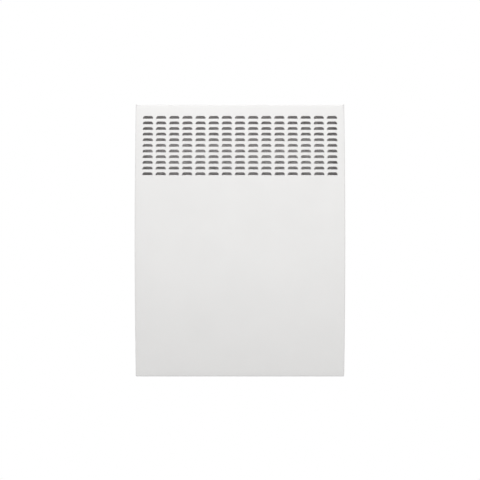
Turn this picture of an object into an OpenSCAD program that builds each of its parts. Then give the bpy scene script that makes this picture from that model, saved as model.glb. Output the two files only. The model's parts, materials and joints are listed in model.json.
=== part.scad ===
// Wall-hung electric convector heater: a bowed, louvred sheet-steel casing on a wall bracket,
// with a finned element, an air deflector and a side control unit inside.
// X runs across the heater, Y from the room towards the wall and Z up. The origin is the
// centre of the bracket's screw pattern, on the wall. All sizes are in millimetres.

/* [Casing] */
// Width over the side walls
casing_w = 346; // [330:1:700]
// Height over the top and bottom walls
casing_h = 451; // [430:1:560]
// Depth of the heater at the crown of its bowed front, without the bracket
casing_d = 78; // [74:1:110]
// Radius of the front panel's bow
bow_r = 1280; // [1000:10:3000]
// Thickness of the casing's sheet
sheet_t = 0.8; // [0.6:0.1:1.2]
// Outside radius of the folds along the top and bottom
fold_r = 4; // [3:0.5:8]
// Outside radius of the folds down the sides
side_fold_r = 1.6; // [1.4:0.1:3]
// Width of the flange round the casing's open back
rear_flange_w = 12; // [11:0.5:16]
// Width of the relief notch at each top corner
notch_w = 1.4; // [1:0.1:2.5]
// How far the corner outside each notch stands above the top wall
ear_rise = 0.5; // [0.2:0.1:1]

/* [Louvres] */
// Width of one louvre opening
louvre_w = 16.6; // [12:0.2:18]
// Height of one louvre opening
louvre_h = 4.6; // [3.5:0.1:6]
// Radius of the opening's upper corners
louvre_corner_r = 3.6; // [1:0.1:3.8]
// Distance between louvres along a row
louvre_pitch_x = 21.76; // [20:0.01:30]
// Distance between rows, along the bow
louvre_pitch_z = 9.49; // [9:0.01:14]
// Number of rows
louvre_rows = 11; // [4:1:11]
// From the top of the casing down to the middle of the first row
louvre_from_top = 21; // [18:0.5:40]
// Least plain width beside the louvres
louvre_margin = 10; // [8:1:30]
// Outside radius of the lip where each louvre's tab folds in
lip_r = 1; // [1:0.1:1.4]

/* [Air inlet] */
// Length of one inlet slot in the bottom wall
inlet_l = 20; // [12:1:24]
// Width of one inlet slot
inlet_w = 7; // [5:0.5:8]
// Distance between inlet slots
inlet_pitch = 26; // [26:1:40]
// Distance between the rows of inlet slots
inlet_row_pitch = 12; // [10:1:14]

/* [Back panel] */
// Thickness of the back panel
back_t = 0.8; // [0.6:0.1:1.2]
// Gap from the back panel's edge to the casing's outside
back_margin = 1.5; // [1:0.5:3]
// Width of a pressed stiffening rib
rib_w = 14; // [10:1:20]
// Height of a pressed rib
rib_h = 2; // [1.5:0.5:4]
// Length of the pressed ribs
rib_l = 250; // [120:10:280]

/* [Wall bracket] */
// Distance from the wall to the back panel
bracket_gap = 20; // [18:1:24]
// Thickness of the bracket's sheet
bracket_t = 1.5; // [1.2:0.1:2]
// Distance between the wall screws, sideways
screw_pitch_x = 190; // [180:1:220]
// Distance between the wall screws, upwards
screw_pitch_z = 260; // [220:1:270]
// Diameter of the wall screw holes
wall_screw_d = 6.4; // [5:0.1:7]
// Height of the uprights
upright_h = 345; // [340:1:350]
// Width of an upright's wall flange
upright_w = 24; // [22:1:28]
// How far a hook rises inside the heater
hook_rise = 8; // [6:0.5:9]
// How far the heater lifts to come off its hooks
lift_travel = 10; // [9:0.5:11]
// Radius that the lock's tongue reaches from its axis
lock_reach = 15; // [14:0.5:15.5]
// Radius of the lock's spindle
lock_r = 4; // [3:0.25:4.5]

/* [Heating element] */
// Length of the finned casting
element_l = 210; // [150:2:212]
// Height of a fin
fin_h = 84; // [60:1:100]
// Width of each arm of a fin
fin_arm = 8; // [6:1:10]
// Half the angle between a fin's arms
fin_angle = 24; // [15:1:28]
// Thickness of a fin
fin_t = 1.6; // [1.2:0.1:2.4]
// Distance between fins
fin_pitch = 8; // [6:0.5:12]
// Radius of the sheathed heating rod
rod_r = 4; // [3:0.25:5]
// Height of the rod's axis above the bottom of the casing
element_from_bottom = 146; // [130:1:170]

/* [Air deflector] */
// Thickness of the deflector's sheet
deflector_t = 0.6; // [0.5:0.1:1]
// Radius of the curve that throws the air forward
deflector_r = 62; // [50:1:64]
// Gap between the deflector and the back panel
deflector_gap = 6.2; // [6:0.1:8]

/* [Controls] */
// Room for the controls, from the bulkhead to the right side wall
compartment_w = 58.2; // [56:0.1:64]
// Width of the control window in the right side wall
window_w = 46; // [44:1:50]
// Height of the control window
window_h = 112; // [110:1:116]
// Depth of the control recess
recess_d = 10; // [9.5:0.5:12]
// Diameter of the thermostat knob
knob_d = 30; // [26:1:32]
// Height of the thermostat knob's drum
knob_h = 6; // [5:0.5:6.5]
// Radius of the thermostat spindle
spindle_r = 3; // [2.5:0.25:3.5]
// Travel of the mode slider
slider_travel = 12; // [8:1:14]
// Tilt of the power rocker to each side of level
rocker_tilt = 9; // [6:1:10]

/* [Supply] */
// Radius of the bore for the supply cord
cord_r = 4; // [3:0.25:4.25]

/* [Hidden] */
$fn = 48;

// clearances
touch = 0.3; // between parts that lie close without touching
slip = 0.05; // radial clearance of a fit
past = 1;    // how far a cutting tool runs past a face
weld = 0.1;  // how far the solids of one piece run into each other
bow_fn = 720;

// fasteners
small_screw_r = 1.5;
small_screw_l = 4.5;
small_head_r = 2.8;
small_head_h = 1.6;
casing_screw_r = 1.75;
casing_screw_l = 5;
casing_head_r = 3.4;
casing_head_h = 2;
recess_w = 0.8;

// planes across the depth, from the wall forwards
y_rear = -bracket_gap;
y_back = y_rear - back_t;
y_flange = y_back - sheet_t;
y_crown = y_rear - casing_d;
bow_y = y_crown + bow_r;
y_shield = y_back - deflector_gap;
y_shield_front = y_shield - deflector_t;

// outline of the casing
half_w = casing_w / 2;
half_h = casing_h / 2;
in_w = half_w - sheet_t;
in_h = half_h - sheet_t;
fold_lead = 0.03 * fold_r;
fold_z = half_h - fold_r;
fold_y = bow_y - sqrt(pow(bow_r - fold_r, 2) - pow(fold_z, 2)) - fold_lead;
flange_corner_r = 4;
notch_drop = 0.7 * fold_r;
notch_back = 2;
ear_w = side_fold_r + notch_w / 2;
screw_edge = rear_flange_w / 2 + 0.5 * sheet_t;

// louvre pattern
louvre_cols = 1 + floor((casing_w - 2 * louvre_margin - louvre_w) / louvre_pitch_x);
louvre_top_angle = asin((half_h - louvre_from_top) / bow_r);
louvre_step = louvre_pitch_z / bow_r * 180 / PI;
lip_thinning = 0.04; // what the bend takes off each face of the sheet
tab_root = 0.5;      // how far a tab's root runs down into the sheet
tab_side_gap = 0.3;  // from a tab to the sides of its opening
lowest_louvre_z = bow_r * sin(louvre_top_angle - (louvre_rows - 1) * louvre_step) - louvre_h;

// depth of the front sheet's outside at height z
function front_y(z) = bow_y - sqrt(bow_r * bow_r - z * z);

// SHARED SHAPES

// draws a (y, z) outline and runs it along x, centred on x = 0
module along_x(length) {
    translate([-length / 2, 0, 0]) rotate([90, 0, 90]) linear_extrude(length) children();
}

// draws a (y, z) outline and runs it from x0 to x1
module from_x(x0, x1) {
    translate([x0, 0, 0]) rotate([90, 0, 90]) linear_extrude(x1 - x0) children();
}

// draws an (x, z) outline and runs it from y0 back to y1
module from_y(y0, y1) {
    translate([0, y1, 0]) rotate([90, 0, 0]) linear_extrude(y1 - y0) children();
}

module box(low, high) {
    translate(low) cube(high - low);
}

module rod_x(r, x0, x1) {
    translate([x0, 0, 0]) rotate([0, 90, 0]) cylinder(r = r, h = x1 - x0);
}

module rod_y(r, y0, y1) {
    translate([0, y1, 0]) rotate([90, 0, 0]) cylinder(r = r, h = y1 - y0);
}

module rod_z(r, z0, z1) {
    translate([0, 0, z0]) cylinder(r = r, h = z1 - z0);
}

module round_rect(w, h, r) {
    square([w - 2 * r, h], center = true);
    square([w, h - 2 * r], center = true);
    for (x = [-1, 1], z = [-1, 1])
        translate([x * (w / 2 - r), z * (h / 2 - r)]) circle(r);
}

module stadium(length, width) {
    square([length - width, width], center = true);
    for (s = [-1, 1]) translate([s * (length - width) / 2, 0]) circle(width / 2);
}

module at_places(places) {
    for (p = places) translate([p[0], 0, p[1]]) children();
}

// draws its children as they are on the right, and mirrored where s is -1
module on_side(s) {
    mirror([s < 0 ? 1 : 0, 0, 0]) children();
}

// a pan-head screw with its head towards +y, seated on y = 0, and a crossed recess
module screw(shank_r, shank_l, head_r, head_h) {
    difference() {
        union() {
            rod_y(shank_r, -shank_l, weld);
            rod_y(head_r, 0, head_h);
        }
        for (a = [0, 90]) rotate([0, a, 0])
            box([-head_r * 0.6, head_h / 2, -recess_w / 2], [head_r * 0.6, head_h + past, recess_w / 2]);
    }
}

module small_screw() {
    screw(small_screw_r, small_screw_l, small_head_r, small_head_h);
}

// the clearance hole of a small screw, through what lies between y0 and y1
module small_holes(places, y0, y1) {
    at_places(places) rod_y(small_screw_r + slip, y0 - past, y1 + past);
}

// THE CASING

// places its children by turning them up the bow
module on_bow(angle) {
    translate([0, bow_y, 0]) rotate([-angle, 0, 0]) translate([0, -bow_r, 0]) children();
}

// the solid behind the bowed front and its side folds, shrunk by inset
module bow_block(inset) {
    reach = casing_d + 2 * fold_r;
    arc = 2 * asin((half_h + fold_r) / (bow_r - reach));
    r = side_fold_r - inset;
    w = 2 * (half_w - inset);
    translate([0, bow_y, 0]) rotate([90, 0, -90]) rotate([0, 0, -arc / 2])
        rotate_extrude(angle = arc, $fn = bow_fn) translate([bow_r - inset, 0]) {
            translate([-reach, -w / 2]) square([reach - r, w]);
            translate([-reach, -w / 2 + r]) square([reach, w - 2 * r]);
            for (s = [-1, 1]) translate([-r, s * (w / 2 - r)]) circle(r, $fn = 48);
        }
}

// the solid inside the top and bottom walls and their folds, shrunk by inset
module fold_block(inset, y_end) {
    r = fold_r - inset;
    front = y_crown - 2 * fold_r;
    along_x(casing_w + 2 * past) {
        translate([front, -fold_z]) square([y_end - front, 2 * fold_z]);
        translate([fold_y, -fold_z - r]) square([y_end - fold_y, 2 * (fold_z + r)]);
        for (s = [-1, 1]) translate([fold_y, s * fold_z]) circle(r);
    }
}

module casing_shell() {
    difference() {
        intersection() {
            bow_block(0);
            fold_block(0, y_back);
        }
        intersection() {
            bow_block(sheet_t);
            fold_block(sheet_t, y_flange);
        }
    }
}

// the louvre's opening: straight along its folded lower edge, its upper corners rounded in steps
module louvre_outline(w, h, r, steps) {
    arc = [for (i = [0 : steps]) i * 90 / steps];
    polygon(concat(
        [[-w / 2, -lip_r], [w / 2, -lip_r]],
        [for (a = arc) [w / 2 - r + r * cos(a), h - r + r * sin(a)]],
        [for (a = arc) [-w / 2 + r - r * sin(a), h - r + r * cos(a)]]
    ));
}

// the tab's section across the sheet: up the panel, round the lip, then straight inwards
module tab_section() {
    front = lip_thinning;
    back = sheet_t - lip_thinning;
    root = lip_r + tab_root;
    bend = lip_r * (1 - cos(45));
    polygon([
        [front, -root], [front, -lip_r], [bend, -bend], [lip_r, -front], [louvre_h, -front],
        [louvre_h, -back], [back + lip_r / 4, -back], [back, -root]
    ]);
}

module louvre_tab() {
    w = louvre_w - 2 * tab_side_gap;
    intersection() {
        along_x(w) tab_section();
        translate([0, 0, -lip_r - past]) linear_extrude(lip_r + 2 * past)
            louvre_outline(w, louvre_h, louvre_corner_r - tab_side_gap, 1);
    }
}

module each_louvre() {
    for (row = [0 : louvre_rows - 1], col = [0 : louvre_cols - 1])
        on_bow(louvre_top_angle - row * louvre_step)
            translate([(col - (louvre_cols - 1) / 2) * louvre_pitch_x, 0, -louvre_h / 2])
                children();
}

module inlet_slots() {
    count = floor((casing_w - 2 * rear_flange_w - inlet_l) / inlet_pitch);
    y_mid = (y_flange - rear_flange_w + fold_y) / 2;
    for (i = [0 : count], row = [-1, 1])
        translate([(i - count / 2) * inlet_pitch, y_mid + row * inlet_row_pitch / 2, -half_h - past])
            linear_extrude(sheet_t + 2 * past) stadium(inlet_l, inlet_w);
}

// the corner of the front sheet that stays upright outside each notch, a little above the fold
module corner_ears() {
    for (s = [-1, 1]) on_side(s) intersection() {
        difference() {
            bow_block(0);
            bow_block(sheet_t);
        }
        box([half_w - ear_w, y_crown, fold_z - fold_r], [half_w + past, fold_y + fold_r, half_h + ear_rise]);
    }
}

// where the casing screws go, as (x, z)
function casing_screw_places() = let(
    x = half_w - screw_edge,
    z = half_h - screw_edge
) [
    for (s = [-1, 1]) each [[-x * 0.75, s * z], [0, s * z], [x * 0.75, s * z]],
    for (s = [-1, 1]) each [[s * x, -z * 0.42], [s * x, z * 0.42]]
];

module front_casing() {
    color("white") difference() {
        union() {
            difference() {
                casing_shell();
                each_louvre() from_y(-past, 2 * past)
                    louvre_outline(louvre_w, louvre_h, louvre_corner_r, 2);
                for (s = [-1, 1]) on_side(s) translate([half_w - ear_w - notch_w / 2, 0, 0])
                    box([-notch_w / 2, y_crown, half_h - notch_drop],
                        [notch_w / 2, fold_y + notch_back, half_h + past]);
            }
            each_louvre() louvre_tab();
            corner_ears();
        }
        from_y(y_flange - past, y_back + past)
            round_rect(casing_w - 2 * rear_flange_w, casing_h - 2 * rear_flange_w, flange_corner_r);
        inlet_slots();
        translate([0, control_y, control_z]) from_x(in_w - past, half_w + past)
            round_rect(window_w, window_h, window_corner);
        at_places(casing_screw_places()) rod_y(casing_screw_r + slip, y_flange - past, y_back + past);
    }
}

module casing_screws() {
    color("silver") at_places(casing_screw_places())
        translate([0, y_rear, 0]) screw(casing_screw_r, casing_screw_l, casing_head_r, casing_head_h);
}

// THE WALL BRACKET

upright_rise = 12;  // from the middle of the screws up to the middle of the uprights
upright_low = -upright_h / 2 + upright_rise;
upright_x = screw_pitch_x / 2 + upright_w / 2;
bar_h = 18;
bar_inset = 12.5;   // from the top of the uprights down to the upper crossbar
lower_bar_inset = 1.5;
crossbar_z = upright_low + upright_h - bar_inset;
lower_bar_z = upright_low + lower_bar_inset + bar_h / 2;
shelf_gap = 2;      // from the upper crossbar's shelf to the back panel
lower_shelf_gap = 8;
rivet_r = 2;
rivet_inset = 4;
rivet_head_r = 3.8;
rivet_head_t = 0.7;
rivet_recess = 0.2;
rivet_x = screw_pitch_x / 2 - rivet_inset;

hook_inset = [64.5, 52.5]; // from the ends of the uprights to the upper and the lower hooks
hook_zs = [upright_low + upright_h - hook_inset[0], upright_low + hook_inset[1]];
hook_x = upright_x - bracket_t / 2;
hook_floor = 6;   // height of the arm that carries the panel
hook_t = 4;       // thickness of the finger that rises behind the panel
hook_nose = 1.5;
hook_gap = 0.6;
hook_slot_w = 7;
hook_slot_room = 4;
hook_slot_h = lift_travel + hook_floor + hook_slot_room;

module hook(z) {
    tip = y_back - hook_gap;
    low = -hook_floor - touch;
    root = y_rear + touch + past;
    translate([0, z]) polygon([
        [root, low - hook_t / 2], [tip - hook_t / 2, low], [tip - hook_t, low + hook_t / 2],
        [tip - hook_t, hook_rise - hook_nose], [tip - hook_t + hook_nose, hook_rise], [tip, hook_rise],
        [tip, -touch], [root, -touch]
    ]);
}

// one upright: wall flange, web and two hooks
module upright(s) {
    color("whitesmoke") on_side(s) difference() {
        union() {
            box([upright_x - upright_w, -bracket_t, upright_low], [upright_x, 0, upright_low + upright_h]);
            from_x(upright_x - bracket_t, upright_x) {
                translate([y_rear + touch, upright_low]) square([-y_rear - touch, upright_h]);
                for (z = hook_zs) hook(z);
            }
        }
        for (z = [-1, 1]) translate([screw_pitch_x / 2, 0, z * screw_pitch_z / 2])
            rod_y(wall_screw_d / 2, -bracket_t - past, past);
        for (z = [crossbar_z - bar_h / 2, lower_bar_z]) translate([rivet_x, 0, z])
            rod_y(rivet_r + slip, -bracket_t - past, past);
    }
}

module crossbar(z_mid) {
    x_end = upright_x - bracket_t - touch;
    difference() {
        box([-x_end, -2 * bracket_t, z_mid - bar_h / 2], [x_end, -bracket_t, z_mid + bar_h / 2]);
        for (s = [-1, 1]) translate([s * rivet_x, 0, z_mid])
            rod_y(rivet_r + slip, -2 * bracket_t - past, past);
    }
}

// the fold along a crossbar that stands out towards the heater, over z to z + bracket_t
module shelf(z, gap) {
    x_end = upright_x - upright_w - touch;
    box([-x_end, y_rear + gap, z], [x_end, -bracket_t * 1.5, z + bracket_t]);
}

module bracket_crossbar_upper() {
    color("whitesmoke") {
        crossbar(crossbar_z - bar_h / 2);
        difference() {
            shelf(crossbar_z - bracket_t, shelf_gap);
            for (s = [-1, 1]) translate([s * lock_x, lock_y, 0])
                rod_z(lock_r + slip, crossbar_z - bracket_t - past, crossbar_z + past);
        }
    }
}

module bracket_crossbar_lower() {
    color("whitesmoke") {
        crossbar(lower_bar_z);
        shelf(lower_bar_z - bar_h / 2, lower_shelf_gap);
    }
}

module bracket_rivets() {
    face = -2 * bracket_t;
    color("silver") for (s = [-1, 1], z = [crossbar_z - bar_h / 2, lower_bar_z])
        translate([s * rivet_x, 0, z]) {
            rod_y(rivet_r, face - rivet_head_t / 2, -rivet_recess);
            rod_y(rivet_head_r, face - rivet_head_t, face);
        }
}

// THE LOCKS

lock_x = 55;
lock_y = y_rear + 10.5;
lock_w = 8;
lock_head_r = 6.5;
lock_head_h = 4;
lock_slot = [1.4, 2];  // width and depth of the screwdriver slot
tongue_t = 2.5;
tongue_drop = 5;
tongue_boss = 1.5;
tongue_z = crossbar_z - bracket_t - tongue_drop;
tongue_room = 1;
window_strip = 6;

// a quarter-turn lock: slotted head on the shelf, spindle through it and a tongue below
module lock(s) {
    run = lock_reach - lock_w / 2;
    top = crossbar_z + touch + lock_head_h;
    color("dimgray") translate([s * lock_x, lock_y, 0]) difference() {
        union() {
            rod_z(lock_head_r, crossbar_z + touch, top);
            rod_z(lock_r, tongue_z, crossbar_z + past);
            translate([0, 0, tongue_z]) linear_extrude(tongue_t) {
                circle(lock_w / 2 + tongue_boss);
                translate([-s * run / 2, 0]) square([run, lock_w], center = true);
                translate([-s * run, 0]) circle(lock_w / 2);
            }
        }
        box([-lock_head_r + tongue_boss, -lock_slot[0] / 2, top - lock_slot[1]],
            [lock_head_r - tongue_boss, lock_slot[0] / 2, top + past]);
    }
}

// the lock's slot, and the window that frees its tongue when the heater is lifted
module lock_windows(s) {
    inner = lock_reach - 3 * tongue_room;
    outer = lock_w / 2 + 2 * tongue_room;
    low = tongue_z - tongue_room;
    spans = [[low, low + tongue_t + 3 * tongue_room],
        [low - window_strip - lift_travel - 1.5 * tongue_room, low - window_strip]];
    for (z = spans) translate([s * lock_x + (s > 0 ? -inner : -outer), z[0]])
        square([inner + outer, z[1] - z[0]]);
}

// THE BACK PANEL

panel_corner_r = 3;
rib_x = 30;
air_slot_l = 14;
air_slot_w = 5;
air_slot_pitch = 22;
air_slot_rise = 38;  // from the bottom of the casing

// a rounded channel pressed out of a sheet towards the wall
module pressed_rib(l) {
    difference() {
        from_y(y_back + back_t / 2, y_rear + rib_h) rotate(90) stadium(l, rib_w);
        from_y(y_back - past, y_rear + rib_h - back_t)
            rotate(90) stadium(l - 2 * back_t, rib_w - 2 * back_t);
    }
}

module air_slots() {
    count = floor((bulkhead_x - deflector_left) / air_slot_pitch) - 1;
    for (i = [0 : count - 1])
        translate([shield_mid + (i - (count - 1) / 2) * air_slot_pitch, -half_h + air_slot_rise])
            stadium(air_slot_l, air_slot_w);
}

module back_panel() {
    color("gainsboro") {
        difference() {
            from_y(y_back, y_rear) difference() {
                round_rect(casing_w - 2 * back_margin, casing_h - 2 * back_margin, panel_corner_r);
                for (x = [-rib_x, rib_x]) translate([x, 0])
                    rotate(90) stadium(rib_l - 2 * back_t, rib_w - 2 * back_t);
                for (s = [-1, 1], z = hook_zs) translate([s * hook_x, z - hook_slot_h / 2])
                    square([hook_slot_w, hook_slot_h], center = true);
                for (s = [-1, 1]) lock_windows(s);
                air_slots();
                cord_window();
            }
            at_places(casing_screw_places()) rod_y(casing_screw_r + slip, y_back - past, y_rear + past);
            small_holes(outlet_screw_places(), y_back, y_rear);
            small_holes(deflector_screw_places(), y_back, y_rear);
            small_holes(control_screw_places(), y_back, y_rear);
            small_holes(bulkhead_screw_places(), y_back, y_rear);
            at_places([earth_place]) rod_y(earth_r + slip, y_back - past, y_rear + past);
        }
        for (x = [-rib_x, rib_x]) translate([x, 0, 0]) pressed_rib(rib_l);
    }
}

// THE AIR DEFLECTOR

shield_from_bottom = 80;
deflector_side_gap = 2;
shield_gap = 4;
deflector_foot = 12;
deflector_turn = 74;
deflector_head_room = 13.5;
deflector_screw_pitch = 100;
control_gap = 5;
shield_low = -half_h + shield_from_bottom;
bulkhead_x = in_w - compartment_w;
deflector_left = -in_w + deflector_side_gap;
shield_right = bulkhead_x - shield_gap;
shield_mid = (deflector_left + shield_right) / 2;
shield_top = half_h - deflector_head_room - deflector_r;
control_top = lowest_louvre_z - control_gap;
function deflector_screw_places() = [for (i = [-1 : 1])
    [shield_mid + i * deflector_screw_pitch, shield_low - deflector_foot / 2]];

// the sheet's section: foot on the back panel, shield behind the element, curve to the front
module deflector_section() {
    t = deflector_t;
    r = deflector_r;
    steps = 10;
    arc = [for (i = [0 : steps]) i * deflector_turn / steps];
    cy = y_shield - r;
    polygon(concat(
        [[y_back, shield_low - deflector_foot], [y_back, shield_low + t], [y_shield, shield_low + t]],
        [for (a = arc) [cy + r * cos(a), shield_top + r * sin(a)]],
        [for (i = [steps : -1 : 0]) [cy + (r - t) * cos(arc[i]), shield_top + (r - t) * sin(arc[i])]],
        [[y_shield_front, shield_low], [y_back - t, shield_low], [y_back - t, shield_low - deflector_foot]]
    ));
}

module air_deflector() {
    low = shield_low - deflector_foot - past;
    color("lightsteelblue") difference() {
        from_x(deflector_left, -deflector_left) deflector_section();
        // room for the control compartment, and for the casing's flange beside the foot
        box([shield_right, y_shield_front - past, low], [half_w, y_back + past, control_top]);
        box([-half_w, y_shield + 2 * past, low],
            [-half_w + rear_flange_w + past, y_back + past, shield_low + deflector_t + past]);
        small_holes(deflector_screw_places(), y_back - deflector_t, y_back);
        small_holes(element_screw_places(), y_shield_front, y_shield);
        small_holes(cutout_screw_places(), y_shield_front, y_shield);
    }
}

module deflector_screws() {
    color("silver") at_places(deflector_screw_places()) translate([0, y_rear, 0]) small_screw();
}

// THE HEATING ELEMENT

element_gap = 26.4;    // from the rod's axis to the shield
core_r = 9;
hub_r = 10.5;
insulator_r = 8;
insulator_l = 8;
insulator_rim = 3;
holder_t = 1;
holder_foot = 12;
holder_rise = 9;       // from the insulator up to the bracket's end
holder_screw_z = 12;
rod_stub = 1.5;        // bare rod past the insulator
stud_r = 1.6;
stud_l = 8;
tag_r = 2.8;
tag_l = 5.5;
tag_blade = [1, 4, 10]; // thickness, width and height above the stud's axis
element_z = -half_h + element_from_bottom;
element_y = y_shield_front - element_gap;
element_x = (bulkhead_x - in_w) / 2;
holder_x = element_l / 2 + fin_t / 2 + touch + insulator_l / 2;
rod_end = holder_x + insulator_l / 2 + rod_stub;
tag_x = rod_end + (stud_l - tag_l) / 2;
function element_screw_places() = [
    for (s = [-1, 1], z = [-1, 1])
        [element_x + s * (holder_x - holder_foot / 2), element_z + z * holder_screw_z]
];

module at_element() {
    translate([element_x, element_y, element_z]) children();
}

module fin_outline() {
    circle(hub_r);
    for (a = [-fin_angle, fin_angle]) rotate(a) square([fin_arm, fin_h], center = true);
}

module element_casting() {
    count = floor(element_l / fin_pitch);
    first = -(count * fin_pitch) / 2;
    color("silver") at_element() difference() {
        union() {
            along_x(element_l) circle(core_r);
            for (i = [0 : count]) from_x(first + i * fin_pitch - fin_t / 2, first + i * fin_pitch + fin_t / 2)
                fin_outline();
        }
        rod_x(rod_r + slip, -element_l, element_l);
    }
}

module element_rod() {
    color("dimgray") at_element() {
        rod_x(rod_r, -rod_end, rod_end);
        rod_x(stud_r, -rod_end - stud_l, rod_end + stud_l);
    }
}

module element_insulators() {
    color("linen") at_element() for (s = [-1, 1]) on_side(s) difference() {
        union() {
            rod_x(insulator_r, holder_x - insulator_l / 2, holder_x + insulator_l / 2);
            rod_x(insulator_r + insulator_rim, holder_x + holder_t, holder_x + insulator_l / 2);
        }
        rod_x(rod_r + slip, holder_x - insulator_l, holder_x + insulator_l);
    }
}

// one end bracket: an upright plate round the insulator, with a foot on the shield
module element_bracket(s) {
    y_foot = y_shield_front - element_y;
    reach = insulator_r + holder_rise;
    color("lightsteelblue") at_element() on_side(s) difference() {
        union() {
            from_x(holder_x, holder_x + holder_t) {
                circle(insulator_r + 2 * insulator_rim);
                translate([0, -reach]) square([y_foot, 2 * reach]);
            }
            box([holder_x - holder_foot, y_foot - holder_t, -reach], [holder_x + holder_t, y_foot, reach]);
        }
        rod_x(insulator_r + slip, holder_x - past, holder_x + holder_t + past);
        small_holes([for (z = [-1, 1]) [holder_x - holder_foot / 2, z * holder_screw_z]],
            y_foot - holder_t, y_foot);
    }
}

module element_bracket_screws() {
    color("silver") at_places(element_screw_places())
        translate([0, y_shield_front - holder_t, 0]) rotate([0, 0, 180]) small_screw();
}

module element_tags() {
    blade = tag_blade;
    x = tag_x + tag_l / 2;
    color("goldenrod") at_element() for (s = [-1, 1]) on_side(s) difference() {
        union() {
            rod_x(tag_r, tag_x, tag_x + tag_l);
            box([x - blade[0] / 2, -blade[1] / 2, tag_r / 2], [x + blade[0] / 2, blade[1] / 2, blade[2]]);
        }
        rod_x(stud_r + slip, rod_end, rod_end + stud_l + past);
    }
}

// THE THERMAL CUT-OUT

cutout_shift = 40;
cutout_rise = 44;      // above the fins
cutout_r = 8;
cutout_d = 9;
cutout_base = [32, 9, 1];
cutout_screw_pitch = 24;
blade_gap = 4;
blade_t = 0.8;
blade_w = 4.5;
blade_l = 8;
blade_in = 5.75;       // from the shield to the middle of the blades
cutout_x = element_x + cutout_shift;
cutout_z = element_z + fin_h / 2 + cutout_rise;
function cutout_screw_places() = [for (s = [-1, 1]) [cutout_x + s * cutout_screw_pitch / 2, cutout_z]];

module thermal_cutout() {
    y0 = y_shield_front;
    color("black") difference() {
        translate([cutout_x, 0, cutout_z]) {
            rod_y(cutout_r, y0 - cutout_d, y0);
            from_y(y0 - cutout_base[2], y0) stadium(cutout_base[0], cutout_base[1]);
            for (s = [-1, 1]) translate([s * blade_gap, y0 - blade_in, cutout_r])
                box([-blade_t / 2, -blade_w / 2, -past], [blade_t / 2, blade_w / 2, blade_l]);
        }
        small_holes(cutout_screw_places(), y0 - cutout_base[2], y0);
    }
}

module cutout_screws() {
    color("silver") at_places(cutout_screw_places())
        translate([0, y_shield_front - cutout_base[2], 0]) rotate([0, 0, 180]) small_screw();
}

// THE CONTROL COMPARTMENT

control_back = 5;       // from mid depth back to the middle of the controls
control_drop = 2.7;     // from the compartment's top down to the housing
window_corner = 5;
rim = 4;
rim_t = 2;
floor_t = 2;
recess_wall = 2;
housing_gap = 4;
housing_wall = 2;
housing_corner = 3;
boss = 12;
board_depth = 22;
board_t = 1.6;
board_gap = 0.5;
post_r = 3;
post_inset = 4;
post_screw_r = 1.15;
post_head = [2.6, 1.6]; // radius and height
bulkhead_t = 0.8;
bulkhead_gap = 1;
bulkhead_front_gap = 2;
bulkhead_foot = [13, 16];
grommet_r = 7;
grommet_lip = 2;
grommet_back = 23;
grommet_drop = 30;
rim_x = in_w - rim_t;
floor_x = half_w - recess_d - floor_t;
floor_face = floor_x + floor_t;
housing_w = window_w + 2 * rim;
housing_h = window_h + 2 * rim;
housing_x = bulkhead_x + housing_gap;
control_y = (y_back + y_crown) / 2 + control_back;
control_z = control_top - control_drop - housing_h / 2;
board_x = housing_x + board_depth;
board_face = board_x + board_t;
board_w = housing_w - 2 * housing_wall - 2 * board_gap;
board_h = housing_h - 2 * housing_wall - 2 * board_gap;
bulkhead_low = -half_h + rear_flange_w + bulkhead_gap;
grommet_y = y_back - grommet_back;
grommet_z = control_z - housing_h / 2 - grommet_drop;
knob_z = control_z + 28;
slider_z = control_z - 5;
lamp_z = control_z - 22;
rocker_z = control_z - 41;
function bulkhead_screw_places() = [for (t = [0.26, 0.6])
    [bulkhead_x + bulkhead_foot[0] / 2, bulkhead_low + t * (control_top - bulkhead_low)]];
function control_screw_places() = [for (z = [-1, 1])
    [housing_x + board_depth - post_inset, control_z + z * (housing_h / 2 - boss - post_inset)]];

module at_control(z) {
    translate([0, control_y, z]) children();
}

module at_board_posts() {
    for (y = [-1, 1], z = [-1, 1])
        translate([0, control_y + y * (board_w / 2 - post_inset), control_z + z * (board_h / 2 - post_inset)])
            children();
}

module control_bulkhead() {
    steps = 8;
    front = [for (i = [0 : steps]) let(z = bulkhead_low + (control_top - bulkhead_low) * i / steps)
        [front_y(z) + sheet_t + bulkhead_front_gap, z]];
    foot = bulkhead_foot;
    color("lightsteelblue") difference() {
        union() {
            from_x(bulkhead_x, bulkhead_x + bulkhead_t)
                polygon(concat([[y_back, control_top], [y_back, bulkhead_low]], front));
            for (p = bulkhead_screw_places()) box([bulkhead_x, y_back - bulkhead_t, p[1] - foot[1] / 2],
                [bulkhead_x + foot[0], y_back, p[1] + foot[1] / 2]);
        }
        translate([0, grommet_y, grommet_z])
            rod_x(grommet_r + slip, bulkhead_x - past, bulkhead_x + bulkhead_t + past);
        small_holes(bulkhead_screw_places(), y_back - bulkhead_t, y_back);
    }
}

module bulkhead_screws() {
    color("silver") at_places(bulkhead_screw_places()) translate([0, y_rear, 0]) small_screw();
}

module lead_grommet() {
    x1 = bulkhead_x + bulkhead_t;
    color("black") translate([0, grommet_y, grommet_z]) difference() {
        union() {
            rod_x(grommet_r, bulkhead_x - grommet_lip + weld, x1 + grommet_lip - weld);
            rod_x(grommet_r + grommet_lip, bulkhead_x - grommet_lip, bulkhead_x);
            rod_x(grommet_r + grommet_lip, x1, x1 + grommet_lip);
        }
        rod_x(grommet_r - grommet_lip, bulkhead_x - 2 * grommet_lip, x1 + 2 * grommet_lip);
    }
}

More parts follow.
